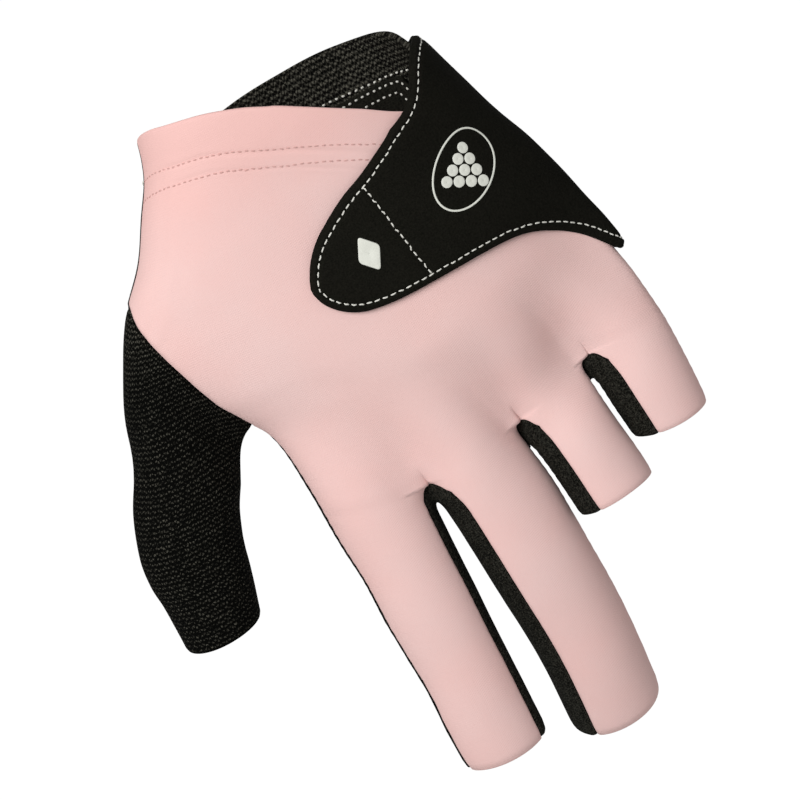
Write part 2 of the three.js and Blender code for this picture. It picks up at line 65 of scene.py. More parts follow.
# Each nudge: where it is, and how far right and down it moves
nudges = np.array([
    # cuff and its left corner
    (135, 128, 7, 5), (172, 106, 2, 18), (225, 98, 0, 17), (300, 97, 0, 18), (380, 103, 3, 15),
    (300, 52, -2, -4), (240, 78, -3, -4), (392, 33, 1, -3), (300, 150, 1, 4), (210, 160, 2, 3),
    # left side and thumb
    (138, 190, 4, 0), (133, 250, 5, 0), (128, 295, 7, 0), (127, 335, -6, 0), (126, 400, -8, 0),
    (130, 480, 4, 0), (133, 530, 3, 1), (160, 605, -3, 2), (203, 651, -5, 3), (262, 608, -2, -1),
    (248, 560, 1, 0), (243, 490, -4, 0), (250, 432, -5, 0), (280, 455, -4, 2),
    (155, 360, 4, -5), (190, 397, 2, -5),
    # index finger
    (320, 530, -3, 1), (390, 650, -4, 0), (467, 752, -5, 8), (510, 750, 2, 7),
    (540, 728, 9, 5), (510, 665, 5, 0), (470, 580, 3, 0), (440, 525, 5, 1), (425, 487, 6, 2),
    # middle finger
    (480, 570, 1, 0), (520, 640, 0, 0), (565, 705, 3, 4), (600, 727, 4, 12), (651, 683, 10, 10),
    (640, 640, 7, 2), (615, 580, 7, 0), (590, 530, 5, 0), (558, 485, 3, 0), (525, 425, 2, 1),
    # ring and little fingers
    (590, 512, 0, 6), (650, 475, 0, -4), (620, 500, 0, -3), (590, 357, 2, 0), (615, 395, -2, 0),
    (630, 255, 11, -2), (655, 300, 7, 0), (685, 350, 5, 0), (702, 400, 6, 0), (680, 427, 2, 4),
    # strap
    (303, 250, 8, 5), (330, 300, 4, 11), (365, 306, 0, 16), (400, 294, 1, 3), (435, 275, 1, -2),
    (370, 165, 7, 4), (340, 205, 7, 4), (408, 90, 4, 2), (415, 37, -4, -1), (440, 50, -8, 8),
    (480, 90, -6, 6), (550, 160, -1, 1), (600, 215, -2, 1), (622, 243, 0, 0), (540, 230, 0, 4), (590, 235, 0, 4),
    (480, 250, 0, 1), (460, 170, 2, 2), (363, 250, 4, 4),
], float)

# Hand form, the same sizes as the solids
handForm = {
    "palmLength": 93.0,
    "palmWidth": 85.7,
    "palmDepth": 29.0,
    "palmShift": 6.0,
    "fingerLength": 70.5,
    "knuckleBlend": 28.0,
    "cuffDip": 18.0,
    "boxiness": 2.25,
    "webGap": 0.7,
    "webDrops": [4.6, 6.0, 5.5],
    "webRound": 3.2,  # height over which a web's top rounds into the fingers' sides
    "webShare": 0.64,  # how far over to the next finger a web's top lies
    "webSpread": 0.27,  # how far across a finger that rounding reaches
    "notchRound": 9.0,
    "flareAt": 15.0,  # the fingers' sides swell towards each other below the webs
    "flareLong": 11.0,
    "palmSideAngle": 42.0,
    "radialSeam": 177.0,
    "ulnarSeam": -7.0,
    "ulnarTurn": 17.0,  # how far the ulnar seam turns to the back where the strap hides it
    "jointPlace": 0.4,
    "jointSpread": 0.135,
}
thumbForm = {
    "width": 25.2,
    "depth": 22.5,
    "length": 34.5,
    "spread": 69.0,
    "openTop": 0.286,
    "openCrotch": 0.685,
    "openBack": 28.0,
    "openPalm": 31.0,
    "rootSide": 0.87,
    "rootDown": 0.735,
    "tilt": 8.0,
    "leaveTop": 57.0,
    "leaveCrotch": 12.0,
}
fingers = [
    {"name": "index", "root": 0.25, "tip": 0.86, "round": 0.9, "length": 0.897,
     "drift": -0.033, "arch": 0.01, "level": 1.0, "lift": 0.04, "lean": 2, "curl": 10,
     "backFrom": 168, "backTo": 32, "joint": 0.02, "splay": 0, "flare": [0, 0],
     "rows": 60},
    {"name": "middle", "root": 0.272, "tip": 0.905, "round": 0.88, "length": 1.0,
     "drift": 0.07, "arch": 0.07, "level": 1.0, "lift": 0.08, "lean": 2, "curl": 25,
     "backFrom": 130, "backTo": -6, "joint": 0.03, "splay": 0, "flare": [0, 0.04],
     "rows": 66},
    {"name": "ring", "root": 0.224, "tip": 0.955, "round": 0.92, "length": 0.37,
     "drift": 0.13, "arch": 0.01, "level": 0.97, "lift": 0.06, "lean": 1, "curl": -1,
     "backFrom": 126, "backTo": -6, "joint": 0, "splay": 0.03,
     "flare": [0, 0.006], "rows": 34},
    {"name": "little", "root": 0.2295, "tip": 0.88, "round": 0.9, "length": 0.313,
     "drift": 0.05, "arch": 0.01, "level": 0.92, "lift": 0.0, "lean": 1, "curl": 3,
     "backFrom": 120, "backTo": -7, "joint": 0, "splay": 0.13,
     "flare": [0.006, 0], "rows": 34},
]
backWebs = [0.955, 0.99, 0.97, 0.914, 0.915]
palmWebs = [0.955, 1.01, 0.985, 0.93, 0.915]


def namedRows(names, *rows):
    return {name: np.array(column, float) for name, column in zip(names.split(), zip(*rows))}


# Sections of the hand down from the cuff
sections = namedRows(
    "down radial ulnar back palm",
    (-0.12, -0.371, 0.303, 0.67, 0.67),
    (-0.05, -0.39, 0.315, 0.69, 0.69),
    (0.0, -0.406, 0.329, 0.69, 0.69),
    (0.055, -0.432, 0.344, 0.68, 0.69),
    (0.118, -0.477, 0.371, 0.66, 0.68),
    (0.206, -0.541, 0.406, 0.63, 0.67),
    (0.286, -0.613, 0.432, 0.6, 0.68),
    (0.36, -0.653, 0.455, 0.58, 0.7),
    (0.44, -0.665, 0.48, 0.57, 0.71),
    (0.52, -0.636, 0.505, 0.56, 0.69),
    (0.59, -0.578, 0.523, 0.55, 0.66),
    (0.645, -0.513, 0.537, 0.54, 0.62),
    (0.69, -0.47, 0.544, 0.53, 0.59),
    (0.73, -0.448, 0.55, 0.52, 0.57),
    (0.8, -0.434, 0.562, 0.5, 0.53),
    (0.9, -0.43, 0.57, 0.47, 0.49),
    (1.1, -0.43, 0.571, 0.45, 0.46),
)
# The cuff's edge round the wrist: how high it stands as a share of cuffDip
cuffEdge = namedRows(
    "angle rise",
    (-200, 0.42), (-190, 0.37), (-180, 0.29), (-160, 0.15), (-140, 0.04), (-119, -0.02),
    (-96, -0.02), (-72, -0.03), (-47, -0.09), (-28, -0.14), (-15, -0.22), (-7, -0.36),
    (0, -0.52), (18, -0.7), (33, -0.87), (44, -0.92), (52, -0.8), (64, -0.5), (82, -0.13),
    (101, 0.2), (120, 0.4), (145, 0.45), (160, 0.42), (170, 0.37), (180, 0.3),
)
thumbRings = namedRows(
    "down side palm width depth lean",
    (0.0, 0.0, 0.14, 1.0, 1.0, 30),
    (0.17, 0.39, 0.17, 0.985, 0.97, 25),
    (0.37, 0.69, 0.2, 0.95, 0.93, 14),
    (0.52, 0.79, 0.23, 0.89, 0.9, 7),
    (0.66, 0.83, 0.26, 0.825, 0.87, 5),
    (0.85, 0.92, 0.3, 0.755, 0.83, 5),
    (1.0, 1.0, 0.33, 0.7, 0.8, 3),
)
# Soft dents of the back round the knuckles: where they lie, how deep, how wide and how long
knuckleDents = namedRows(
    "x z deep across along",
    (-14.5, -87.0, 0.8, 6.0, 11.0),
    (13.5, -92.0, 2.6, 7.0, 9.0),
    (32.0, -87.0, 2.8, 7.5, 9.0),
    (24.0, -86.0, 3.4, 9.0, 10.0),
    (58.0, -64.0, 9.0, 24.0, 22.0),
    (9.0, -58.0, -1.4, 17.0, 24.0),
)


def ease(t):
    t = np.clip(t, 0, 1)
    return t * t * (3 - 2 * t)


def mix(a, b, t):
    return a + (b - a) * t


def squared(x):
    return np.sign(x) * np.abs(x) ** (2 / handForm["boxiness"])


def rowAt(table, key, value):  # a table's row at any value of its key column, smooth through the rows
    places = table[key]
    last = len(places) - 1
    value = np.asarray(value, float)
    i = np.searchsorted(places[1:last], value, side="left")
    step = places[i + 1] - places[i]
    t = np.clip((value - places[i]) / step, 0, 1)
    low = np.maximum(np.arange(last + 1) - 1, 0)
    high = np.minimum(np.arange(last + 1) + 1, last)
    row = {}
    for name, column in table.items():
        slope = (column[high] - column[low]) / (places[high] - places[low])
        row[name] = (
            mix(column[i], column[i + 1], t * t * (3 - 2 * t))
            + step * slope[i] * t * (1 - t) ** 2
            - step * slope[i + 1] * t * t * (1 - t)
        )
    return row


fingerEdge = handForm["palmShift"] - handForm["palmWidth"] / 2
for finger in fingers:
    gaps = handForm["webGap"] * (len(fingers) - 1)
    finger["width"] = finger["root"] * (handForm["palmWidth"] - gaps) / 0.9755
    finger["middle"] = fingerEdge + finger["width"] / 2
    finger["long"] = finger["length"] * handForm["fingerLength"]
    fingerEdge += finger["width"] + handForm["webGap"]


def sectionPoint(angle, z):  # the hand's own section, without fingers and thumb
    angle, z = np.broadcast_arrays(np.asarray(angle, float), np.asarray(z, float))
    row = rowAt(sections, "down", -z / handForm["palmLength"])
    middle = handForm["palmWidth"] * (row["radial"] + row["ulnar"]) / 2
    half = handForm["palmWidth"] * (row["ulnar"] - row["radial"]) / 2
    height = squared(np.sin(np.radians(angle)))
    depth = handForm["palmDepth"] * np.where(height > 0, row["back"], row["palm"])
    across = middle + half * squared(np.cos(np.radians(angle)))
    return np.stack([across, -depth * height, z], axis=-1)


def tubePoint(finger, angle, reach):  # a finger's tube, reach millimetres below its root
    angle, reach = np.broadcast_arrays(np.asarray(angle, float), np.asarray(reach, float))
    turn = np.radians(angle)
    t = np.clip(reach / finger["long"], 0, 1)
    early = -0.2 * np.tanh(np.maximum(-reach / finger["long"], 0) / 0.2)
    first, last = math.radians(finger["lean"]), math.radians(finger["curl"])
    tilt = mix(first, last, t)
    bend = last - first
    past = np.minimum(reach, 0)
    y = finger["long"] * (math.cos(first) - np.cos(tilt)) / bend + past * math.sin(first)
    z = finger["long"] * (np.sin(tilt) - math.sin(first)) / bend + past * math.cos(first)
    bump = np.exp(-(((t - handForm["jointPlace"]) / handForm["jointSpread"]) ** 2))
    half = finger["width"] * mix(1, finger["tip"], t) * (1 + finger["joint"] * bump) / 2
    turned = np.cos(turn)
    swell = np.exp(-(((reach - handForm["flareAt"]) / handForm["flareLong"]) ** 2)) * finger["width"]
    flared = np.where(turned < 0, *finger["flare"]) * swell * turned
    side = finger["drift"] * t + finger["arch"] * np.sin(np.pi * t)
    side += (finger["drift"] + np.pi * finger["arch"]) * early
    sway = (reach - np.sqrt(reach ** 2 + 25)) / 2 * finger["splay"]
    up = half * finger["round"] * np.sin(turn)
    x = finger["middle"] + finger["width"] * side + sway + half * turned + flared
    level = finger["level"] * handForm["palmLength"]
    lift = finger["lift"] * handForm["palmDepth"]
    return np.stack([x, y - lift - up * np.cos(tilt), -z - level - up * np.sin(tilt)], axis=-1)


def reachAt(finger, z):
    level = finger["level"] * handForm["palmLength"]
    return (-z - level) / math.cos(math.radians(finger["lean"]))


# One face of the hand: what the back and the palm differ in
backFace = {
    "borders": [119, 87, 60],
    "webs": backWebs,
    "radial": handForm["radialSeam"],
    "opening": -thumbForm["openBack"],
    "webNear": [26, -6, -6],  # where each web's seam starts on the finger before it
    "webFar": [150, 138, 131],  # and on the finger after it
    "edges": [[finger["backFrom"], finger["backTo"]] for finger in fingers],
}
sideAngle = handForm["palmSideAngle"]
palmFace = {
    "borders": [-119, -87, -60],
    "webs": palmWebs,
    "radial": handForm["radialSeam"] - 360,
    "opening": thumbForm["openPalm"],
    "webNear": [-20, -20, -20],
    "webFar": [-160, -160, -160],
    "edges": [[sideAngle - 180, -sideAngle] for finger in fingers],
}
palmFace["edges"][0][0] = fingers[0]["backFrom"] - 360
palmFace["edges"][3][1] = fingers[3]["backTo"]


def faceAngle(face, place, z):  # the angle on the hand's section of a place across a face
    place, z = np.broadcast_arrays(np.asarray(place, float), np.asarray(z, float))
    span = thumbForm["openCrotch"] - thumbForm["openTop"]
    t = np.clip((-z / handForm["palmLength"] - thumbForm["openTop"]) / span, 0, 1)
    opening = face["opening"] * np.abs(np.sin(np.pi * t ** 0.9)) ** 0.7
    ulnar = handForm["ulnarSeam"] + handForm["ulnarTurn"] * ease((z + 50) / 25)
    borders = [face["radial"] + opening, *face["borders"], ulnar]
    borders = np.stack([border + np.zeros_like(z) for border in borders])
    i = np.minimum(place.astype(int), 3)
    low = np.take_along_axis(borders, i[None], 0)[0]
    high = np.take_along_axis(borders, i[None] + 1, 0)[0]
    return mix(low, high, place - i)


def webLevel(face, place):
    place = np.asarray(place, float)
    webs = np.array(face["webs"])
    i = np.minimum(place.astype(int), 3)
    return -handForm["palmLength"] * mix(webs[i], webs[i + 1], place - i)


def tubeEdges(face, i, below):  # where a face begins and ends on a finger's tube, below its web
    below = np.asarray(below, float)
    spread = 1 - (1 - np.clip(below / handForm["notchRound"], 0, 1)) ** 2
    first, last = face["edges"][i]
    start = first + 0 * spread if i == 0 else mix(face["webFar"][i - 1], first, spread)
    end = last + 0 * spread if i == 3 else mix(face["webNear"][i], last, spread)
    return start, end


def borderPull(face, border, z):  # from each of two fingers' edges to a place between them
    near, far = fingers[border - 1], fingers[border]
    nearEdge = tubePoint(near, tubeEdges(face, border - 1, 0)[1], reachAt(near, z))
    farEdge = tubePoint(far, tubeEdges(face, border, 0)[0], reachAt(far, z))
    share = handForm["webShare"]
    return (farEdge - nearEdge) * share, (nearEdge - farEdge) * (1 - share)


def facePoint(face, place, z):  # a point of a face above the webs
    place, z = np.broadcast_arrays(np.asarray(place, float), np.asarray(z, float))
    hand = sectionPoint(faceAngle(face, place, z), z)
    web = webLevel(face, place)
    fade = ease((web + handForm["knuckleBlend"] - z) / handForm["knuckleBlend"])
    owner = np.minimum(place.astype(int), 3)
    tubes = np.zeros_like(hand)
    for i, finger in enumerate(fingers):
        mine = owner == i
        if not mine.any():
            continue
        t, level = place[mine] - i, z[mine]
        first, last = tubeEdges(face, i, 0)
        point = tubePoint(finger, mix(first, last, t), reachAt(finger, level))
        if i > 0:
            pull = borderPull(face, i, level)[1]
            point = point + pull * ease(1 - t / handForm["webSpread"])[:, None]
        if i < 3:
            pull = borderPull(face, i + 1, level)[0]
            point = point + pull * ease(1 - (1 - t) / handForm["webSpread"])[:, None]
        tubes[mine] = point
    return mix(hand, tubes, fade[..., None])


def softened(points, face, place, z, reach):  # without the crease between two fingers' tubes
    web = webLevel(face, place)
    border = np.clip(np.round(place), 1, 3)
    weight = ease((z - web) / 5) * ease((web + 40 - z) / 10) * ease(1 - np.abs(place - border) / 0.5)
    made = points.copy()
    for k in np.flatnonzero(weight.any(axis=1)):
        steps = np.linalg.norm(np.diff(points[k], axis=0), axis=-1)
        run = np.concatenate([[0.0], np.cumsum(steps)])
        near = np.exp(-(((run[:, None] - run[None]) / reach) ** 2)) * np.gradient(run)[None]
        smooth = near @ points[k] / near.sum(axis=1)[:, None]
        made[k] = mix(points[k], smooth, weight[k][:, None])
    return made


def cuffLevel(face, place):
    return rowAt(cuffEdge, "angle", faceAngle(face, place, 0))["rise"] * handForm["cuffDip"]


def levelAt(face, place, row):  # rows 0 to 1 lie above the thumb, 1 to 2 beside it, 2 to 3 below
    top = -thumbForm["openTop"] * handForm["palmLength"]
    crotch = -thumbForm["openCrotch"] * handForm["palmLength"]
    above = mix(cuffLevel(face, place), top, row)
    below = mix(crotch, webLevel(face, place), row - 2)
    return np.where(row <= 1, above, np.where(row <= 2, mix(top, crotch, row - 1), below))


def crowded(count, crowd):  # steps from 0 to 1 that crowd at both ends
    t = np.linspace(0, 1, count + 1)
    return t - crowd * np.sin(2 * np.pi * t) / (2 * np.pi)


cloth = {
    "fingerColumns": 34,
    "sideColumns": 18,
    "rowsAboveThumb": 64,
    "rowsAtThumb": 44,
    "rowsBelowThumb": 34,
    "thumbBlendRows": 22,
    "thumbRows": 44,
    "crowd": 0.86,
    "softReach": 4.5,
}
fingerSteps = crowded(cloth["fingerColumns"], cloth["crowd"])
places = np.concatenate([[0.0], *[i + fingerSteps[1:] for i in range(4)]])
handRows = np.concatenate([
    np.linspace(0, 1, cloth["rowsAboveThumb"] + 1),
    1 + np.linspace(0, 1, cloth["rowsAtThumb"] + 1)[1:],
    2 + np.linspace(0, 1, cloth["rowsBelowThumb"] + 1)[1:],
])


def rowShares(finger):
    return np.linspace(0, 1, finger["rows"] + 1) ** 1.9


def webRise(below):  # how much of the pull to a web's middle is left, below the web
    share = 1 - np.clip(below / handForm["webRound"], 0, 1)
    return 1 - np.sqrt(1 - share ** 2)


def lengthsAlong(points):  # running length over the first axis
    steps = np.linalg.norm(np.diff(points, axis=0), axis=-1)
    return np.concatenate([np.zeros((1,) + steps.shape[1:]), np.cumsum(steps, axis=0)])


def acrossLengths(points, column):  # running length across, true at one column
    flat = points.copy()
    flat[..., 2] = 0
    run = lengthsAlong(np.swapaxes(flat, 0, 1)).T
    return run - run[:, column : column + 1]


def panelGrids(face):
    place, row = np.meshgrid(places, handRows)
    z = levelAt(face, place, row)
    points = softened(facePoint(face, place, z), face, place, z, cloth["softReach"])
    centre = len(places) // 2
    across = acrossLengths(points, centre) + points[:, centre : centre + 1, 0]
    grids = [{"points": points, "u": across, "v": -points[..., 2]}]
    for i, finger in enumerate(fingers):
        first = i * cloth["fingerColumns"]
        own = slice(first, first + cloth["fingerColumns"] + 1)
        t, share = np.meshgrid(fingerSteps, rowShares(finger))
        start = reachAt(finger, webLevel(face, i + t))
        reach = mix(start, finger["long"], share)
        below = reach - start
        left, right = tubeEdges(face, i, below)
        sleeve = tubePoint(finger, mix(left, right, t), reach)
        if i > 0:
            pull = borderPull(face, i, webLevel(face, i))[1]
            sleeve = sleeve + pull * (webRise(below) * ease(1 - t / handForm["webSpread"]))[..., None]
        if i < 3:
            pull = borderPull(face, i + 1, webLevel(face, i + 1))[0]
            near = ease(1 - (1 - t) / handForm["webSpread"])
            sleeve = sleeve + pull * (webRise(below) * near)[..., None]
        sleeve[0] = points[-1, own]
        half = cloth["fingerColumns"] // 2
        run = acrossLengths(sleeve, half) + across[-1, first + half]
        run = run + sleeve[:, half : half + 1, 0] - sleeve[0, half, 0]
        grids.append({"points": sleeve, "u": run, "v": -sleeve[..., 2]})
    return grids


def sideStripGrid(i, drop):  # down one finger's side, over the web and down the next one's
    near, far = fingers[i], fingers[i + 1]
    across = crowded(cloth["sideColumns"], cloth["crowd"])
    backWeb, palmWeb = webLevel(backFace, i + 1), webLevel(palmFace, i + 1)
    web = mix(backWeb, palmWeb, across) - drop * np.sin(np.pi * across)

    def side(finger, which, number, turn):
        t, share = np.meshgrid(across, rowShares(finger))
        start = reachAt(finger, web)[None]
        reach = mix(start, finger["long"], share)

        def edge(face, level):
            begin = reachAt(finger, level)
            return tubeEdges(face, number, mix(begin, finger["long"], share) - begin)[which]

        angle = mix(edge(backFace, backWeb), edge(palmFace, palmWeb) + turn, t)
        return tubePoint(finger, angle, reach), reach - start

    nearSide, nearBelow = side(near, 1, i, 0)
    farSide, farBelow = side(far, 0, i + 1, 360)
    middle = (nearSide[0] + farSide[0]) / 2
    nearSide = nearSide + (middle - nearSide[0])[None] * webRise(nearBelow)[..., None]
    farSide = farSide + (middle - farSide[0])[None] * webRise(farBelow)[..., None]
    points = np.concatenate([nearSide[:0:-1], farSide])
    run = lengthsAlong(np.swapaxes(points, 0, 1)).T
    along = lengthsAlong(points)
    return {"points": points, "u": run, "v": along}


def thumbGrid(back, palm):  # from the opening in the side seam down to the open end
    first = cloth["rowsAboveThumb"]
    last = first + cloth["rowsAtThumb"]
    root = np.concatenate([back[first : last + 1, 0], palm[first + 1 : last, 0][::-1]])
    count = len(root)
    angle = np.pi * (1 - 2 * np.arange(count) / count)
    shares = np.linspace(0, 1, cloth["thumbRows"] + 1)
    row = rowAt(thumbRings, "down", shares)
    lean = np.radians(row["lean"])
    middle = np.stack([
        -thumbForm["spread"] * mix(thumbForm["rootSide"], 1, row["side"]),
        thumbForm["depth"] * row["palm"],
        -handForm["palmLength"] * thumbForm["rootDown"] - thumbForm["length"] * row["down"],
    ], axis=-1)
    tilt = math.sin(math.radians(thumbForm["tilt"])) + 0 * lean
    ahead = np.stack([-np.sin(lean), tilt, -np.cos(lean)], axis=-1)
    ahead /= np.linalg.norm(ahead, axis=-1, keepdims=True)
    outward = np.stack([np.cos(lean), 0 * lean, -np.sin(lean)], axis=-1)
    rear = np.cross(ahead, outward)
    rear /= np.linalg.norm(rear, axis=-1, keepdims=True)
    rear *= -np.sign(rear[:, 1:2])
    wide = thumbForm["width"] / 2 * row["width"]
    deep = thumbForm["depth"] / 2 * row["depth"]
    rings = middle[:, None] + outward[:, None] * (wide[:, None] * np.cos(angle))[..., None]
    rings = rings + rear[:, None] * (deep[:, None] * np.sin(angle))[..., None]
    around = 2 * np.pi * np.arange(count) / count
    slope = np.radians(mix(thumbForm["leaveTop"], thumbForm["leaveCrotch"], (1 - np.cos(around)) / 2))
    leave = np.stack([-np.cos(slope), 0 * slope, -np.sin(slope)], axis=-1)
    arrive = np.array([np.sin(lean[0]), 0, np.cos(lean[0])])
    reach = np.linalg.norm(rings[0] - root, axis=-1, keepdims=True) / 3
    out, guide = root + leave * reach, rings[0] + arrive * reach
    blend = []
    for t in np.linspace(0, 1, cloth["thumbBlendRows"] + 1)[:-1] ** 1.5:
        early = mix(mix(root, out, t), mix(out, guide, t), t)
        late = mix(mix(out, guide, t), mix(guide, rings[0], t), t)
        blend.append(mix(early, late, t))
    points = np.concatenate([np.array(blend), rings])
    points = np.concatenate([points, points[:, :1]], axis=1)
    run = lengthsAlong(np.swapaxes(points, 0, 1)).T
    along = lengthsAlong(points)
    return {"points": points, "u": run, "v": along - along[-1:]}


backGrids = panelGrids(backFace)
palmGrids = panelGrids(palmFace)
pieceGrids = {
    "backPanel": (backGrids, False),
    "palmPanel": (palmGrids, True),
    "thumbSleeve": ([thumbGrid(backGrids[0]["points"], palmGrids[0]["points"])], False),
    "sideStripIndexMiddle": ([sideStripGrid(0, handForm["webDrops"][0])], True),
    "sideStripMiddleRing": ([sideStripGrid(1, handForm["webDrops"][1])], True),
    "sideStripRingLittle": ([sideStripGrid(2, handForm["webDrops"][2])], True),
}


def gridFaces(shape, turned):
    number = np.arange(shape[0] * shape[1]).reshape(shape)
    corners = [number[:-1, :-1], number[1:, :-1], number[1:, 1:], number[:-1, 1:]]
    faces = np.stack([corner.ravel() for corner in corners], axis=-1)
    return faces[:, ::-1] if turned else faces


# All the cloth of the hand as one welded surface, so that neighbours share their seams
allPoints, allUv, pieceFaces, count = [], [], {}, 0
for name, (grids, turned) in pieceGrids.items():
    pieceFaces[name] = []
    for grid in grids:
        shape = grid["points"].shape[:2]
        pieceFaces[name].append(gridFaces(shape, turned) + count)
        allPoints.append(grid["points"].reshape(-1, 3))
        allUv.append(np.stack([grid["u"].ravel(), grid["v"].ravel()], axis=-1))
        count += shape[0] * shape[1]
    pieceFaces[name] = np.concatenate(pieceFaces[name])
allPoints, allUv = np.concatenate(allPoints), np.concatenate(allUv)


def weldedOwners(points, reach):
    tree = KDTree(len(points))
    for i, point in enumerate(points):
        tree.insert(point, i)
    tree.balance()
    owner = np.full(len(points), -1)
    for i, point in enumerate(points):
        if owner[i] < 0:
            for _, j, _ in tree.find_range(point, reach):
                if owner[j] < 0:
                    owner[j] = i
    return owner


owner = weldedOwners(allPoints, 0.004)


def vertexNormals(points, faces):
    a, b, c, d = (points[faces[:, k]] for k in range(4))
    normal = np.cross(c - a, d - b)
    total = np.zeros_like(points)
    for k in range(4):
        np.add.at(total, faces[:, k], normal)
    return total / np.maximum(np.linalg.norm(total, axis=1, keepdims=True), 1e-9)


joinedFaces = owner[np.concatenate(list(pieceFaces.values()))]
formNormals = vertexNormals(allPoints, joinedFaces)


# Slow waves of the worn cloth
softWaves = {"size": 17.0, "height": 0.16, "fineSize": 6.0, "fineHeight": 0.05}


def waveHeight(point):
    p = Vector(point)
    slow = noise.noise(p / softWaves["size"]) * softWaves["height"]
    return slow + noise.noise(p / softWaves["fineSize"]) * softWaves["fineHeight"]


used = np.unique(joinedFaces)
formHeight = np.zeros(len(allPoints))
formHeight[used] = [waveHeight(allPoints[i]) for i in used]
allPoints = allPoints + formNormals * formHeight[:, None]
formNormals = vertexNormals(allPoints, joinedFaces)
print("hand form:", len(used), "points")


def edgeKeys(faces, size):
    starts = faces.ravel()
    ends = np.roll(faces, -1, axis=1).ravel()
    solid = starts != ends
    starts, ends = starts[solid], ends[solid]
    lone = ~np.isin(starts * size + ends, ends * size + starts)
    return starts[lone], ends[lone]


def nearestEdge(points, starts, ends):  # distance, edge and place along it of the nearest edge
    distance, which, where = np.zeros(len(points)), np.zeros(len(points), int), np.zeros(len(points))
    along = ends - starts
    square = np.maximum((along ** 2).sum(-1), 1e-12)
    for first in range(0, len(points), 1200):
        part = slice(first, first + 1200)
        off = points[part, None] - starts[None]
        t = np.clip((off * along).sum(-1) / square, 0, 1)
        far = ((off - t[..., None] * along) ** 2).sum(-1)
        best = far.argmin(1)
        rows = np.arange(len(best))
        distance[part] = np.sqrt(far[rows, best])
        which[part], where[part] = best, t[rows, best]
    return distance, which, where


def edgeField(points, normals, starts, ends):
    # for every point: distance to the edge, direction in from it and running length along it
    if not len(starts):
        return np.full(len(points), 1e3), np.zeros_like(points), np.zeros(len(points))
    step = points[ends] - points[starts]
    length = np.linalg.norm(step, axis=1)
    inward = np.zeros_like(points)
    for ends_ in (starts, ends):
        np.add.at(inward, ends_, np.cross(normals[ends_], step / np.maximum(length, 1e-9)[:, None]))
    inward /= np.maximum(np.linalg.norm(inward, axis=1, keepdims=True), 1e-9)
    after = dict(zip(starts.tolist(), range(len(starts))))
    heads = set(starts.tolist()) - set(ends.tolist())
    run, seen = np.zeros(len(starts)), set()
    for head in [*sorted(heads), *sorted(after)]:
        total, at = 0.0, after.get(head)
        while at is not None and at not in seen:
            seen.add(at)
            run[at] = total
            total += length[at]
            at = after.get(int(ends[at]))
    distance, which, where = nearestEdge(points, points[starts], points[ends])
    way = mix(inward[starts[which]], inward[ends[which]], where[:, None])
    return distance, way, run[which] + where * length[which]


def dented(points):  # the back sinks towards the palm round the knuckles
    x, y, z = points.T
    deep = np.zeros(len(points))
    for k in range(len(knuckleDents["x"])):
        row = {name: column[k] for name, column in knuckleDents.items()}
        off = ((x - row["x"]) / row["across"]) ** 2 + ((z - row["z"]) / row["along"]) ** 2
        deep += row["deep"] * np.exp(-off)
    moved = points.copy()
    moved[:, 1] += deep * ease((-y - 1) / 12)
    return moved


def nudged(points):  # moved in the picture's plane, as the nearest nudges say
    from_ = points - view["target"]
    deep = view["distance"] + from_ @ view["ahead"]
    scale = view["distance"] / deep / view["pixel"]
    spots = np.stack([400 + from_ @ view["right"] * scale, 400 - from_ @ view["up"] * scale], axis=-1)
    moved = np.zeros_like(spots)
    for first in range(0, len(points), 4000):
        part = slice(first, first + 4000)
        far = ((spots[part, None] - nudges[None, :, :2]) ** 2).sum(-1)
        weight = np.exp(-far / view["reach"] ** 2)
        moved[part] = weight @ nudges[:, 2:] / (weight.sum(-1, keepdims=True) + 0.2)
    shift = moved[:, :1] * view["right"] - moved[:, 1:] * view["up"]
    return points + shift / scale[:, None]


def meshPiece(name, points, faces, uv, smooth=True):
    points = nudged(dented(points))
    mesh = bpy.data.meshes.new(name)
    mesh.from_pydata((points * mm).tolist(), [], [list(face) for face in faces])
    layer = mesh.uv_layers.new(name="weave")
    layer.data.foreach_set("uv", np.asarray(uv, np.float32).reshape(-1))
    mesh.polygons.foreach_set("use_smooth", [smooth] * len(mesh.polygons))
    mesh.update()
    piece = bpy.data.objects.new(name, mesh)
    bpy.context.scene.collection.objects.link(piece)
    return piece


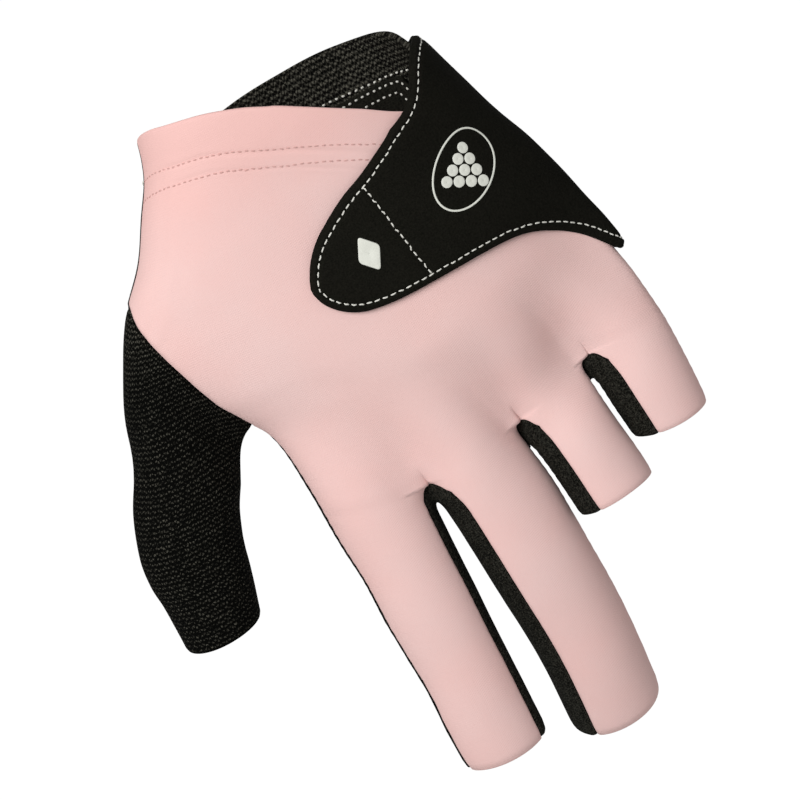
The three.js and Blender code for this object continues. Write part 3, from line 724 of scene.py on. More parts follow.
def clothShell(name, points, normals, faces, uv, look, freeEdges=None, relief=None):
    # a piece of cloth with its thickness: outer skin, inner skin and rims
    size = len(points)
    starts, ends = edgeKeys(faces, size)
    free = np.ones(len(starts), bool)
    if freeEdges is not None:
        free = np.isin(starts * size + ends, freeEdges)
    seam = edgeField(points, normals, starts[~free], ends[~free])
    open_ = edgeField(points, normals, starts[free], ends[free])
    seamFar, seamIn, seamRun = seam
    openFar, openIn, openRun = open_
    bisect = np.zeros_like(points)
    bisect[:] = normals
    shift = np.zeros_like(points)
    if (~free).any():
        near = np.exp(-((seamFar / 1.0) ** 2))[:, None]
        _, which, where = nearestEdge(points, points[starts[~free]], points[ends[~free]])
        edgeNormal = mix(normals[starts[~free]][which], normals[ends[~free]][which], where[:, None])
        bisect = mix(normals, edgeNormal, near)
        bisect /= np.linalg.norm(bisect, axis=1, keepdims=True)
        shift += seamIn * (look["gap"] / 2 * np.clip(1 - seamFar / 2, 0, 1))[:, None]
    shift += openIn * (look["rim"] * np.clip(1 - openFar / (3 * look["rim"] + 0.5), 0, 1))[:, None]
    roll = look["roll"] * np.clip(1 - seamFar / look["rollWidth"], 0, 1) ** 2
    pucker = look["pucker"] * np.cos(2 * np.pi * seamRun / look["puckerPitch"])
    pucker = pucker * np.exp(-(((seamFar - 0.9) / 0.9) ** 2))
    thin = look["edgeDrop"] * np.clip(1 - openFar / look["edgeWidth"], 0, 1) ** 2
    height = pucker - roll - thin
    wall = np.full(size, look["wall"]) - thin
    if relief is not None:
        extra, thicker = relief(points, openFar, openRun)
        height = height + extra
        wall = wall + thicker
    outer = points + shift + bisect * height[:, None]
    inner = outer - bisect * wall[:, None]
    verts, allFaces, corners = [outer, inner], [*faces.tolist()], [uv]
    allFaces += (faces[:, ::-1] + size).tolist()
    corners.append(uv[:, ::-1])
    steps = look["rimSteps"]
    place = np.zeros((size, 2))
    for k in range(4):
        place[faces[:, k]] = uv[:, k]
    index = {int(v): k for k, v in enumerate(starts)}
    rings = [starts]
    total = 2 * size
    for k in range(1, steps):
        turn = np.pi * k / steps
        middle = (outer[starts] + inner[starts]) / 2
        half = (outer[starts] - inner[starts]) / 2
        bulge = np.where(free, look["rim"], 0.0)
        out = -openIn[starts] * (bulge * math.sin(turn))[:, None]
        verts.append(middle + half * math.cos(turn) + out)
        rings.append(np.arange(total, total + len(starts)))
        total += len(starts)
    rings.append(starts + size)
    nextOf = np.array([index.get(int(v), -1) for v in ends])
    for k in range(steps):
        upper, lower = rings[k], rings[k + 1]
        for e in range(len(starts)):
            f = nextOf[e]
            if f < 0:
                continue
            allFaces.append([int(upper[f]), int(upper[e]), int(lower[e]), int(lower[f])])
            a, b = place[ends[e]], place[starts[e]]
            corners.append(np.array([[a, b, b, a]]))
    verts = np.concatenate(verts)
    corners = np.concatenate([c.reshape(-1, 4, 2) for c in corners])
    used = np.unique(np.array(allFaces))
    renumber = np.full(len(verts), -1)
    renumber[used] = np.arange(len(used))
    allFaces = renumber[np.array(allFaces)]
    whole = np.array([len(set(face)) == 4 for face in allFaces.tolist()])
    piece = meshPiece(name, verts[used], allFaces[whole].tolist(), corners[whole])
    skins = {
        "outer": BVHTree.FromPolygons(outer.tolist(), faces.tolist()),
        "inner": BVHTree.FromPolygons(inner.tolist(), faces[:, ::-1].tolist()),
    }
    return piece, skins


clothLook = {
    "gap": 0.14,
    "wall": 1.2,
    "rim": 0.12,
    "rimSteps": 4,
    "roll": 0.5,
    "rollWidth": 1.3,
    "pucker": 0.05,
    "puckerPitch": 2.6,
    "edgeDrop": 0.2,
    "edgeWidth": 0.8,
}
# The folded hem of the back's cuff: its depth and its two stitched rows
backHem = {"deep": 15.0, "rows": [10.0, 14.2], "thick": 0.3, "groove": 0.22, "grooveWidth": 0.55}
# The folded hem of the palm's cuff, with one stitched row
palmHem = {"deep": 10.6, "rows": [9.4], "thick": 0.2, "groove": 0.18, "grooveWidth": 0.55}


def hemRelief(hem, face):
    def relief(points, openFar, openRun):
        cuffZone = points[:, 2] > -handForm["palmLength"] * 0.5
        far = np.where(cuffZone, openFar, 1e3)
        fold = hem["thick"] * (1 - ease((far - hem["deep"] + 0.3) / 0.6))
        dip = sum(np.exp(-(((far - row) / hem["grooveWidth"]) ** 2)) for row in hem["rows"])
        return fold * 0.5 - hem["groove"] * dip, fold * 0.8
    return relief


pieces, skins = {}, {}
allStarts, allEnds = edgeKeys(joinedFaces, len(allPoints))
freeKeys = allStarts * len(allPoints) + allEnds


def clothPiece(name, look, relief=None):
    faces = owner[pieceFaces[name]]
    uv = allUv[pieceFaces[name]]
    used, local = np.unique(faces, return_inverse=True)
    faces = local.reshape(faces.shape)
    starts, ends = edgeKeys(faces, len(used))
    wide = used[starts] * len(allPoints) + used[ends]
    free = (starts * len(used) + ends)[np.isin(wide, freeKeys)]
    made = clothShell(name, allPoints[used], formNormals[used], faces, uv, look, free, relief)
    pieces[name], skins[name] = made
    print(name, len(pieces[name].data.polygons), "faces")


clothPiece("backPanel", {**clothLook, "wall": 1.2}, hemRelief(backHem, backFace))
clothPiece("palmPanel", {**clothLook, "wall": 1.35, "roll": 0.45}, hemRelief(palmHem, palmFace))
clothPiece("thumbSleeve", {**clothLook, "wall": 1.35, "roll": 0.45})
for name in ("sideStripIndexMiddle", "sideStripMiddleRing", "sideStripRingLittle"):
    clothPiece(name, {**clothLook, "wall": 0.95, "roll": 0.45, "pucker": 0.09, "puckerPitch": 2.2})


# Strap and patch lie on the hand's own section. Around is counted in sixths of a finger from
# the thumb's side over the back to the palm.
strap = {
    "clearance": 0.5,
    "thick": 2.0,
    "columns": 240,
    "rows": 70,
    "crowd": 0.82,
    "edgeDrop": 1.0,
    "edgeWidth": 1.7,
    "rowInset": 1.75,
    "groove": 0.34,
    "grooveWidth": 0.5,
    "puff": 0.12,
    "tabFrom": (0.312, 0.06),
    "tabTo": (0.324, 0.94),
}
strapStations = namedRows(
    "at around top foot",
    *[(at, *row) for at, row in enumerate([
        (10.15, 0.412, 0.425), (10.3, 0.39, 0.455), (10.65, 0.354, 0.486), (11.2, 0.318, 0.514),
        (11.9, 0.286, 0.533), (12.9, 0.26, 0.545), (14.2, 0.238, 0.552), (15.8, 0.209, 0.555),
        (17.4, 0.184, 0.556), (18.6, 0.163, 0.56), (19.4, 0.138, 0.575), (20.2, 0.103, 0.61),
        (21.0, 0.08, 0.655), (21.8, 0.066, 0.7), (22.6, 0.062, 0.728), (23.6, 0.064, 0.738),
        (24.8, 0.075, 0.735), (26.2, 0.09, 0.715), (28.0, 0.11, 0.68), (30.0, 0.13, 0.63),
    ])],
)
patch = {
    "from": 27.2, "to": 35.4, "top": 0.12, "foot": 0.42, "corner": 0.3,
    "clearance": 0.4, "thick": 0.9, "columns": 60, "rows": 50,
}


def wristSpot(around, z):
    place = around / 6
    level = -handForm["palmLength"] + 0 * z
    back = faceAngle(backFace, np.clip(place, 0, 4), level)
    palm = faceAngle(palmFace, np.clip(8 - place, 0, 4), level)
    return sectionPoint(np.where(place <= 4, back, palm), z)


def layerPoint(around, z, out):  # a point that stands out from the hand's section
    along = wristSpot(around + 0.2, z) - wristSpot(around - 0.2, z)
    down = wristSpot(around, z - 0.5) - wristSpot(around, z + 0.5)
    normal = np.cross(down, along)
    normal /= np.linalg.norm(normal, axis=-1, keepdims=True)
    return wristSpot(around, z) + normal * np.asarray(out)[..., None]


def strapPoint(s, t, out):  # s runs from the tab's end round the wrist, t from top to foot
    row = rowAt(strapStations, "at", np.asarray(s) * (len(strapStations["at"]) - 1))
    z = -handForm["palmLength"] * mix(row["top"], row["foot"], np.asarray(t))
    return layerPoint(row["around"], z, out + 0 * z)


def patchPoint(s, t, out):
    bow = (1 - np.sqrt(1 - patch["corner"] * (2 * s - 1) ** 4)) * 0.5
    z = -handForm["palmLength"] * mix(patch["top"], patch["foot"], mix(t, 0.5, bow))
    return layerPoint(mix(patch["from"], patch["to"], s), z, out + 0 * z)


def layerPiece(name, points, look, relief=None):
    shape = points.shape[:2]
    faces = gridFaces(shape, False)
    flat = points.reshape(-1, 3)
    run = lengthsAlong(np.swapaxes(points, 0, 1)).T
    run = np.broadcast_to(run[shape[0] // 2], shape)
    along = lengthsAlong(points)
    along = along - along[shape[0] // 2]
    uv = np.stack([run.ravel(), along.ravel()], axis=-1)[faces]
    normals = vertexNormals(flat, faces)
    made = clothShell(name, flat, normals, faces, uv, look, None, relief)
    pieces[name], skins[name] = made
    print(name, len(pieces[name].data.polygons), "faces")
    return flat, normals, faces


strapTop = strap["clearance"] + strap["thick"]
strapT = crowded(strap["rows"], strap["crowd"])
evenS = np.linspace(0, 1, 900)
middleRun = lengthsAlong(strapPoint(evenS, 0.5 + 0 * evenS, strapTop))
strapS = np.interp(crowded(strap["columns"], 0.7) * middleRun[-1], middleRun, evenS)
gridS, gridT = np.meshgrid(strapS, strapT)
tabEnds = [strapPoint(*strap[key], strapTop) for key in ("tabFrom", "tabTo")]


def strapRelief(points, openFar, openRun):
    row = np.exp(-(((openFar - strap["rowInset"]) / strap["grooveWidth"]) ** 2))
    along = tabEnds[1] - tabEnds[0]
    t = np.clip(((points - tabEnds[0]) @ along) / (along @ along), 0, 1)
    off = np.linalg.norm(points - tabEnds[0] - t[:, None] * along, axis=1)
    tab = np.exp(-((off / (strap["grooveWidth"] * 1.3)) ** 2))
    puff = strap["puff"] * ease((openFar - strap["rowInset"]) / 3) * ease(off / 3)
    return puff - strap["groove"] * np.maximum(row, tab), np.zeros(len(points))


strapLook = {
    **clothLook, "wall": strap["thick"], "rim": 0.25, "rimSteps": 6,
    "edgeDrop": strap["edgeDrop"], "edgeWidth": strap["edgeWidth"],
}
strapForm = layerPiece("wristStrap", strapPoint(gridS, gridT, strapTop), strapLook, strapRelief)

patchT, patchS = crowded(patch["rows"], 0.6), crowded(patch["columns"], 0.6)
gridS, gridT = np.meshgrid(patchS, patchT)
patchOut = -1.4 - patch["clearance"]
patchLook = {**clothLook, "wall": patch["thick"], "rim": 0.15, "edgeDrop": 0.15, "edgeWidth": 0.7}
patchForm = layerPiece("cuffPatch", patchPoint(gridS, gridT, patchOut), patchLook)


# Stitches
random = np.random.default_rng(11)


def resample(path, step):
    length = lengthsAlong(path)
    count = max(int(round(length[-1] / step)), 2)
    where = np.linspace(0, length[-1], count + 1)
    return np.stack([np.interp(where, length, path[:, k]) for k in range(3)], axis=-1)


def snap(path, skin, lift=0.0):
    spots, normals = [], []
    for point in path:
        spot, normal, _, _ = skin.find_nearest(Vector(point))
        spots.append(np.array(spot) + np.array(normal) * lift)
        normals.append(np.array(normal))
    return np.array(spots), np.array(normals)


def insetPath(form, inset, closed=True):  # a line that keeps its distance from a layer's edge
    points, normals, faces = form
    starts, ends = edgeKeys(faces, len(points))
    after = dict(zip(starts.tolist(), ends.tolist()))
    at, loop = int(starts[0]), []
    while at not in loop[:1]:
        loop.append(at)
        at = after[at]
    edge, upward = points[loop], normals[loop]
    along = np.roll(edge, -3, axis=0) - np.roll(edge, 3, axis=0)
    inward = np.cross(upward, along)
    inward /= np.linalg.norm(inward, axis=1, keepdims=True)
    path = edge + inward * inset
    far, _, _ = nearestEdge(path, edge, np.roll(edge, -1, axis=0))
    path = path[far > inset * 0.96]
    for _ in range(6):
        path = (np.roll(path, 1, axis=0) + 2 * path + np.roll(path, -1, axis=0)) / 4
    return np.concatenate([path, path[:1]])


def stitchRow(path, skin, look):
    # one capsule for each stitch, sunk into the cloth at both ends
    line, up = snap(resample(path, 0.25), skin)
    length = lengthsAlong(line)
    rings, sides = 7, 8
    verts, faces, uv = [], [], []
    count = round(length[-1] / look["pitch"])
    for at in (np.arange(count) + 0.15) * length[-1] / count:
        jitter = random.normal(0, 1, 3) * look["wander"]
        where = at + np.linspace(0, look["long"], rings) + jitter[0] * 0.5
        middle = np.stack([np.interp(where, length, line[:, k]) for k in range(3)], axis=-1)
        normal = np.stack([np.interp(where, length, up[:, k]) for k in range(3)], axis=-1)
        normal /= np.linalg.norm(normal, axis=1, keepdims=True)
        ahead = np.gradient(middle, axis=0)
        ahead /= np.linalg.norm(ahead, axis=1, keepdims=True)
        side = np.cross(ahead, normal)
        share = np.linspace(0, 1, rings)
        arch = np.sin(np.pi * share)
        lift = look["rise"] * arch ** 0.5 - look["sink"] * (1 - arch ** 0.5)
        sway = (share - 0.5) * jitter[1] + jitter[2] * 0.5
        middle = middle + normal * lift[:, None] + side * sway[:, None]
        thick = look["thick"] / 2 * (0.45 + 0.55 * arch ** 0.5)
        first = len(verts)
        for k in range(rings):
            for j in range(sides):
                turn = 2 * np.pi * j / sides
                ring = side[k] * math.cos(turn) + normal[k] * math.sin(turn) * 0.85
                verts.append(middle[k] + ring * thick[k])
        for k in range(rings - 1):
            for j in range(sides):
                a, b = first + k * sides + j, first + k * sides + (j + 1) % sides
                faces.append([a, b, b + sides, a + sides])
                u0, u1 = j / sides * 1.3, (j + 1) / sides * 1.3
                uv += [(where[k], u0), (where[k], u1), (where[k + 1], u1), (where[k + 1], u0)]
        faces.append([first + j for j in range(sides)][::-1])
        faces.append([first + (rings - 1) * sides + j for j in range(sides)])
        uv += [(0, 0)] * (2 * sides)
    return verts, faces, uv


def stitches(name, rows, look):  # rows of (path, skin)
    verts, faces, uv = [], [], []
    for path, skin in rows:
        v, f, w = stitchRow(path, skin, look)
        faces += [[i + len(verts) for i in face] for face in f]
        verts += v
        uv += w
    pieces[name] = meshPiece(name, np.array(verts), faces, uv)
    print(name, len(faces), "faces")


whiteStitch = {"pitch": 1.8, "long": 1.5, "thick": 0.36, "rise": 0.08, "sink": 0.2, "wander": 0.06}
tabStitch = {**whiteStitch, "pitch": 1.8, "long": 1.45}
innerStitch = {**whiteStitch, "pitch": 1.5, "long": 0.75, "thick": 0.45, "rise": 0.14}
roseStitch = {**whiteStitch, "pitch": 1.5, "long": 1.15, "thick": 0.34, "rise": 0.03, "wander": 0.1}

strapLine = insetPath(strapForm, strap["rowInset"])
stitches("strapStitches", [(strapLine, skins["wristStrap"]["outer"])], whiteStitch)
tabLine = resample(np.array(tabEnds), 1.0)
stitches("tabStitches", [(tabLine, skins["wristStrap"]["outer"])], tabStitch)


def hemLine(face, below, out):
    place = np.linspace(0.03, 3.97, 400)
    z = cuffLevel(face, place) - below
    point = facePoint(face, place, z)
    near = facePoint(face, place, z - 1) - facePoint(face, place, z + 1)
    along = np.gradient(point, axis=0)
    normal = np.cross(along, near) * (-1 if face is backFace else 1)
    normal /= np.linalg.norm(normal, axis=1, keepdims=True)
    return point + normal * out


hemRows = [(hemLine(backFace, below, 0.5), skins["backPanel"]["outer"]) for below in backHem["rows"]]
stitches("hemStitches", hemRows, roseStitch)
innerRows = [
    (hemLine(palmFace, palmHem["rows"][0], -2.0), skins["palmPanel"]["inner"]),
    (hemLine(palmFace, palmHem["rows"][0], 0.5), skins["palmPanel"]["outer"]),
]
stitches("cuffStitches", innerRows, innerStitch)
patchRows = [(insetPath(patchForm, inset), skins["cuffPatch"]["inner"]) for inset in (0.9, 3.1)]
stitches("patchStitches", patchRows, innerStitch)


# Marks: a rack of ten balls on the strap and a plain diamond on its tab
marks = {
    "rackAt": (0.508, 0.5), "ball": 1.3, "pitch": 2.85, "rackTurn": 57.0, "rackLean": 29.0,
    "rackLift": 0.9,
    "oval": (7.0, 10.0), "ovalLine": 0.45,
    "sightAt": (0.26, 0.51), "sight": (2.9, 4.5), "sightTurn": -10.0,
    "film": 0.14,
}


def filmMark(name, outlines, at, turn, skin):
    # thin film cut to outlines round a point of the strap, laid on its surface
    centre = strapPoint(*at, strapTop)
    spot, normal, _, _ = skin.find_nearest(Vector(centre))
    normal = np.array(normal)
    up = np.array([0, 0, 1.0]) - normal * normal[2]
    up /= np.linalg.norm(up)
    right = np.cross(up, normal)
    angle = math.radians(turn)
    ahead = up * math.cos(angle) + right * math.sin(angle)
    side = right * math.cos(angle) - up * math.sin(angle)
    verts, faces, uv = [], [], []
    film = marks["film"]
    for outline, core in outlines:
        outline, core = np.array(outline, float), np.array(core, float)
        first, count = len(verts), len(outline)
        rings = [(0, -0.1), (0, film * 0.7), (0.08, film), (0.5, film), (0.92, film)]
        rings += [(1, film * 0.7), (1, -0.1)]
        flat = np.concatenate([mix(core, outline, share) for share, _ in rings])
        laid, upward = snap(np.array(spot) + flat[:, :1] * side + flat[:, 1:] * ahead, skin)
        lift = np.repeat([height for _, height in rings], count)
        verts.extend(laid + upward * lift[:, None])
        for r in range(len(rings)):
            below = (r + 1) % len(rings)
            for j in range(count):
                k = (j + 1) % count
                face = [r * count + j, below * count + j, below * count + k, r * count + k]
                faces.append([first + i for i in face])
                uv += [tuple(flat[i]) for i in face]
    pieces[name] = meshPiece(name, np.array(verts), faces, uv)
    print(name, len(faces), "faces")


def oval(x, y, wide, tall=None, count=28):
    turn = 2 * np.pi * np.arange(count) / count
    tall = wide if tall is None else tall
    return np.stack([x + wide * np.cos(turn), y + tall * np.sin(turn)], axis=-1)


def roundedShape(corners, step=8, radius=0.18):  # a polygon with softened corners
    corners = np.array(corners, float)
    made = []
    for k, corner in enumerate(corners):
        before = mix(corner, corners[k - 1], radius)
        after = mix(corner, corners[(k + 1) % len(corners)], radius)
        for t in np.linspace(0, 1, step):
            made.append(mix(mix(before, corner, t), mix(corner, after, t), t))
    return np.array(made)


rack = []
lean = math.radians(marks["rackLean"])
for row in range(4):
    for ball in range(row + 1):
        side = (ball - row / 2) * marks["pitch"]
        high = (1.5 - row) * marks["pitch"] * math.sqrt(3) / 2 + marks["rackLift"]
        x = side * math.cos(lean) - high * math.sin(lean)
        y = side * math.sin(lean) + high * math.cos(lean)
        rack.append((oval(x, y, marks["ball"]), oval(x, y, 0.002)))
wide, tall = marks["oval"]
line = marks["ovalLine"]
rack.append((oval(0, 0, wide, tall, 96), oval(0, 0, wide - line, tall - line, 96)))
strapSkin = skins["wristStrap"]["outer"]
filmMark("strapMark", rack, marks["rackAt"], marks["rackTurn"], strapSkin)
wide, tall = marks["sight"]
sight = roundedShape([(wide, 0), (0, tall), (-wide, 0), (0, -tall)])
filmMark("tabMark", [(sight, sight * 0.001)], marks["sightAt"], marks["sightTurn"], strapSkin)


# Shader parts that several cloths share
def calc(tree, operation, a, b=None, c=None):
    node = tree.nodes.new("ShaderNodeMath")
    node.operation = operation
    for socket, value in zip(node.inputs, (a, b, c)):
        if value is None:
            continue
        if isinstance(value, (int, float)):
            socket.default_value = value
        else:
            tree.links.new(value, socket)
    return node.outputs[0]


def newGroup(name, inputs, outputs):
    group = bpy.data.node_groups.new(name, "ShaderNodeTree")
    kinds = {"vector": "NodeSocketVector", "value": "NodeSocketFloat", "colour": "NodeSocketColor"}
    for socket, kind in inputs:
        group.interface.new_socket(name=socket, in_out="INPUT", socket_type=kinds[kind])
    for socket, kind in outputs:
        group.interface.new_socket(name=socket, in_out="OUTPUT", socket_type=kinds[kind])
    return group, group.nodes.new("NodeGroupInput").outputs, group.nodes.new("NodeGroupOutput").inputs


def smoothStep(tree, value, low, high):
    node = tree.nodes.new("ShaderNodeMapRange")
    node.interpolation_type = "SMOOTHSTEP"
    tree.links.new(value, node.inputs["Value"])
    node.inputs["From Min"].default_value = low
    node.inputs["From Max"].default_value = high
    return node.outputs["Result"]


def noiseAt(tree, place, scale, detail=2.0, rough=0.5):
    node = tree.nodes.new("ShaderNodeTexNoise")
    tree.links.new(place, node.inputs["Vector"])
    if isinstance(scale, (int, float)):
        node.inputs["Scale"].default_value = scale
    else:
        tree.links.new(scale, node.inputs["Scale"])
    node.inputs["Detail"].default_value = detail
    node.inputs["Roughness"].default_value = rough
    return node.outputs["Fac"]


def splitPlace(tree, place):
    node = tree.nodes.new("ShaderNodeSeparateXYZ")
    tree.links.new(place, node.inputs[0])
    return node.outputs[0], node.outputs[1]


def makeKnitRelief():
    # wales of slanting legs, as on the face of a fine jersey, with painted shade where the knit lies low
    group, given, put = newGroup(
        "knit relief and painted shade",
        [("Place", "vector"), ("Wale", "value"), ("Course", "value"), ("Fuzz", "value")],
        [("Height", "value"), ("ValleyShade", "value")],
    )
    x, y = splitPlace(group, given["Place"])
    leg = calc(group, "PINGPONG", calc(group, "DIVIDE", x, given["Wale"]), 0.5)
    slant = calc(group, "MULTIPLY_ADD", leg, 1.3, calc(group, "DIVIDE", y, given["Course"]))
    loop = calc(group, "COSINE", calc(group, "MULTIPLY", slant, 2 * math.pi))
    loop = calc(group, "MULTIPLY_ADD", loop, 0.28, 0.72)
    ridge = calc(group, "SINE", calc(group, "MULTIPLY", leg, 2 * math.pi))
    ridge = calc(group, "MULTIPLY_ADD", calc(group, "ABSOLUTE", ridge), 0.7, 0.3)
    fibre = noiseAt(group, given["Place"], 9.0, 3.0, 0.6)
    fibre = calc(group, "MULTIPLY", calc(group, "SUBTRACT", fibre, 0.5), given["Fuzz"])
    height = calc(group, "ADD", calc(group, "MULTIPLY", loop, ridge), fibre)
    group.links.new(height, put["Height"])
    group.links.new(calc(group, "SUBTRACT", 1.0, height), put["ValleyShade"])
    return group


def makeMeshRelief():
    # small holes in offset rows with a raised knot of yarn between them; the holes carry painted shade and the
    # knots painted highlights
    group, given, put = newGroup(
        "mesh relief with painted shade and highlight",
        [("Place", "vector"), ("Pitch", "value"), ("Wander", "value")],
        [("Height", "value"), ("HoleShade", "value"), ("KnotHighlight", "value")],
    )
    bend = group.nodes.new("ShaderNodeTexNoise")
    group.links.new(given["Place"], bend.inputs["Vector"])
    bend.inputs["Scale"].default_value = 1.3
    off = group.nodes.new("ShaderNodeVectorMath")
    off.operation = "SCALE"
    group.links.new(bend.outputs["Color"], off.inputs[0])
    group.links.new(given["Wander"], off.inputs["Scale"])
    place = group.nodes.new("ShaderNodeVectorMath")
    group.links.new(given["Place"], place.inputs[0])
    group.links.new(off.outputs[0], place.inputs[1])
    x, y = splitPlace(group, place.outputs[0])
    slant = calc(group, "PINGPONG", calc(group, "DIVIDE", x, given["Pitch"]), 0.5)
    y = calc(group, "MULTIPLY_ADD", slant, calc(group, "MULTIPLY", given["Pitch"], 0.7), y)
    turn = calc(group, "DIVIDE", 2 * math.pi, given["Pitch"])
    across = calc(group, "COSINE", calc(group, "MULTIPLY", x, turn))
    down = calc(group, "COSINE", calc(group, "MULTIPLY", y, calc(group, "MULTIPLY", turn, 1.15)))
    wave = calc(group, "MULTIPLY", across, down)
    yarn = calc(group, "MULTIPLY_ADD", wave, -0.5, 0.5)
    strand = noiseAt(group, place.outputs[0], 6.0, 2.0, 0.6)
    height = calc(group, "ADD", yarn, calc(group, "MULTIPLY", strand, 0.35))
    group.links.new(height, put["Height"])
    # painted shade in the holes
    group.links.new(smoothStep(group, wave, 0.25, 0.8), put["HoleShade"])
    # painted highlights on the knots, brighter in slow patches
    lit = smoothStep(group, noiseAt(group, given["Place"], 1.1, 2.0, 0.7), 0.3, 0.66)
    lit = calc(group, "MULTIPLY", lit, smoothStep(group, strand, 0.34, 0.6))
    knotHighlight = calc(group, "MULTIPLY", smoothStep(group, wave, -0.1, -0.75), lit)
    group.links.new(knotHighlight, put["KnotHighlight"])
    return group


def makeClothTone():
    # slow patches and fine flecks between a pale and a deep tone
    group, given, put = newGroup(
        "cloth tone",
        [("Place", "vector"), ("Pale", "colour"), ("Deep", "colour"), ("Patch", "value"),
         ("Cloud", "value"), ("Fleck", "value"), ("Shade", "value")],
        [("Color", "colour"), ("Rough", "value")],
    )
    slow = noiseAt(group, given["Place"], calc(group, "DIVIDE", 1000.0, given["Patch"]), 3.0, 0.55)
    fine = noiseAt(group, given["Place"], 2600.0, 2.0, 0.6)
    fleck = calc(group, "MULTIPLY", calc(group, "SUBTRACT", fine, 0.5), given["Fleck"])
    cloud = calc(group, "MULTIPLY_ADD", calc(group, "SUBTRACT", slow, 0.5), given["Cloud"], 0.3)
    share = calc(group, "ADD", cloud, fleck)
    share = calc(group, "ADD", share, given["Shade"])
    blend = group.nodes.new("ShaderNodeMix")
    blend.data_type = "RGBA"
    group.links.new(share, blend.inputs[0])
    group.links.new(given["Pale"], blend.inputs[6])
    group.links.new(given["Deep"], blend.inputs[7])
    group.links.new(blend.outputs[2], put["Color"])
    rough = calc(group, "MULTIPLY_ADD", share, 0.12, 0.78)
    group.links.new(rough, put["Rough"])
    return group


knitRelief, meshRelief, clothTone = makeKnitRelief(), makeMeshRelief(), makeClothTone()


def linear(hexColour):  # a colour as painters write it, made linear
    parts = [int(hexColour[k : k + 2], 16) / 255 for k in (0, 2, 4)]
    parts = [c / 12.92 if c <= 0.04045 else ((c + 0.055) / 1.055) ** 2.4 for c in parts]
    return (*parts, 1.0)


def placeGroup(tree, group, links, **values):
    node = tree.nodes.new("ShaderNodeGroup")
    node.node_tree = group
    for socket, source in links.items():
        tree.links.new(source, node.inputs[socket])
    for socket, value in values.items():
        node.inputs[socket].default_value = value
    return node.outputs


def startMaterial(name, **settings):
    material = bpy.data.materials.new(name)
    material.use_nodes = True
    tree = material.node_tree
    shader = tree.nodes["Principled BSDF"]
    for socket, value in settings.items():
        shader.inputs[socket.replace("_", " ")].default_value = value
    weave = tree.nodes.new("ShaderNodeUVMap")
    weave.uv_map = "weave"
    spot = tree.nodes.new("ShaderNodeTexCoord")
    return material, tree, shader, weave.outputs[0], spot.outputs["Object"]


def addBump(tree, shader, height, distance, strength=1.0):
    bump = tree.nodes.new("ShaderNodeBump")
    bump.inputs["Distance"].default_value = distance
    bump.inputs["Strength"].default_value = strength
    tree.links.new(height, bump.inputs["Height"])
    tree.links.new(bump.outputs["Normal"], shader.inputs["Normal"])


def paint(tree, shader, tone):
    tree.links.new(tone["Color"], shader.inputs["Base Color"])
    tree.links.new(tone["Rough"], shader.inputs["Roughness"])


def knitMaterial(name, look):
    material, tree, shader, weave, spot = startMaterial(
        name, Specular_IOR_Level=look["gloss"], Sheen_Weight=look["sheen"], Sheen_Roughness=0.5,
    )
    relief = placeGroup(
        tree, knitRelief, {"Place": weave}, Wale=look["wale"], Course=look["course"], Fuzz=look["fuzz"],
    )
    # painted shade: the knit's low places are painted towards the deep tone
    shade = calc(tree, "MULTIPLY", relief["ValleyShade"], look["valleyShade"])
    if look["cuffTint"]:  # the hem's double cloth reads deeper
        height = tree.nodes.new("ShaderNodeSeparateXYZ")
        tree.links.new(spot, height.inputs[0])
        hem = smoothStep(tree, height.outputs[2], -0.03, 0.0)
        shade = calc(tree, "MULTIPLY_ADD", hem, look["cuffTint"], shade)
    tone = placeGroup(
        tree, clothTone, {"Place": spot, "Shade": shade}, Pale=linear(look["pale"]),
        Deep=linear(look["deep"]), Patch=look["patch"], Cloud=look["cloud"], Fleck=look["fleck"],
    )
    paint(tree, shader, tone)
    addBump(tree, shader, relief["Height"], look["bump"])
    return material


def meshMaterial(name, look):
    material, tree, shader, weave, spot = startMaterial(
        name, Specular_IOR_Level=look["gloss"], Sheen_Weight=look["sheen"], Sheen_Roughness=0.5,
    )
    relief = placeGroup(tree, meshRelief, {"Place": weave}, Pitch=look["pitch"], Wander=look["wander"])
    # painted light: towards the cuff the ground is painted lighter and the knot highlights stronger, standing in
    # for light inside the cuff
    height = tree.nodes.new("ShaderNodeSeparateXYZ")
    tree.links.new(spot, height.inputs[0])
    cuff = smoothStep(tree, height.outputs[2], -0.045, -0.02)
    knotHighlight = calc(tree, "MULTIPLY", relief["KnotHighlight"], calc(tree, "MULTIPLY_ADD", cuff, 1.0, 1.0))
    ground = calc(tree, "MULTIPLY_ADD", cuff, -0.22, look["ground"])
    # painted shade in the holes and painted highlights on the knots
    shade = calc(tree, "MULTIPLY_ADD", relief["HoleShade"], 0.5, ground)
    shade = calc(tree, "MULTIPLY_ADD", knotHighlight, -look["knotHighlight"], shade)
    tone = placeGroup(
        tree, clothTone, {"Place": spot, "Shade": shade}, Pale=linear(look["pale"]),
        Deep=linear(look["deep"]), Patch=look["patch"], Cloud=look["cloud"], Fleck=look["fleck"],
    )
    paint(tree, shader, tone)
    addBump(tree, shader, relief["Height"], look["bump"])
    return material


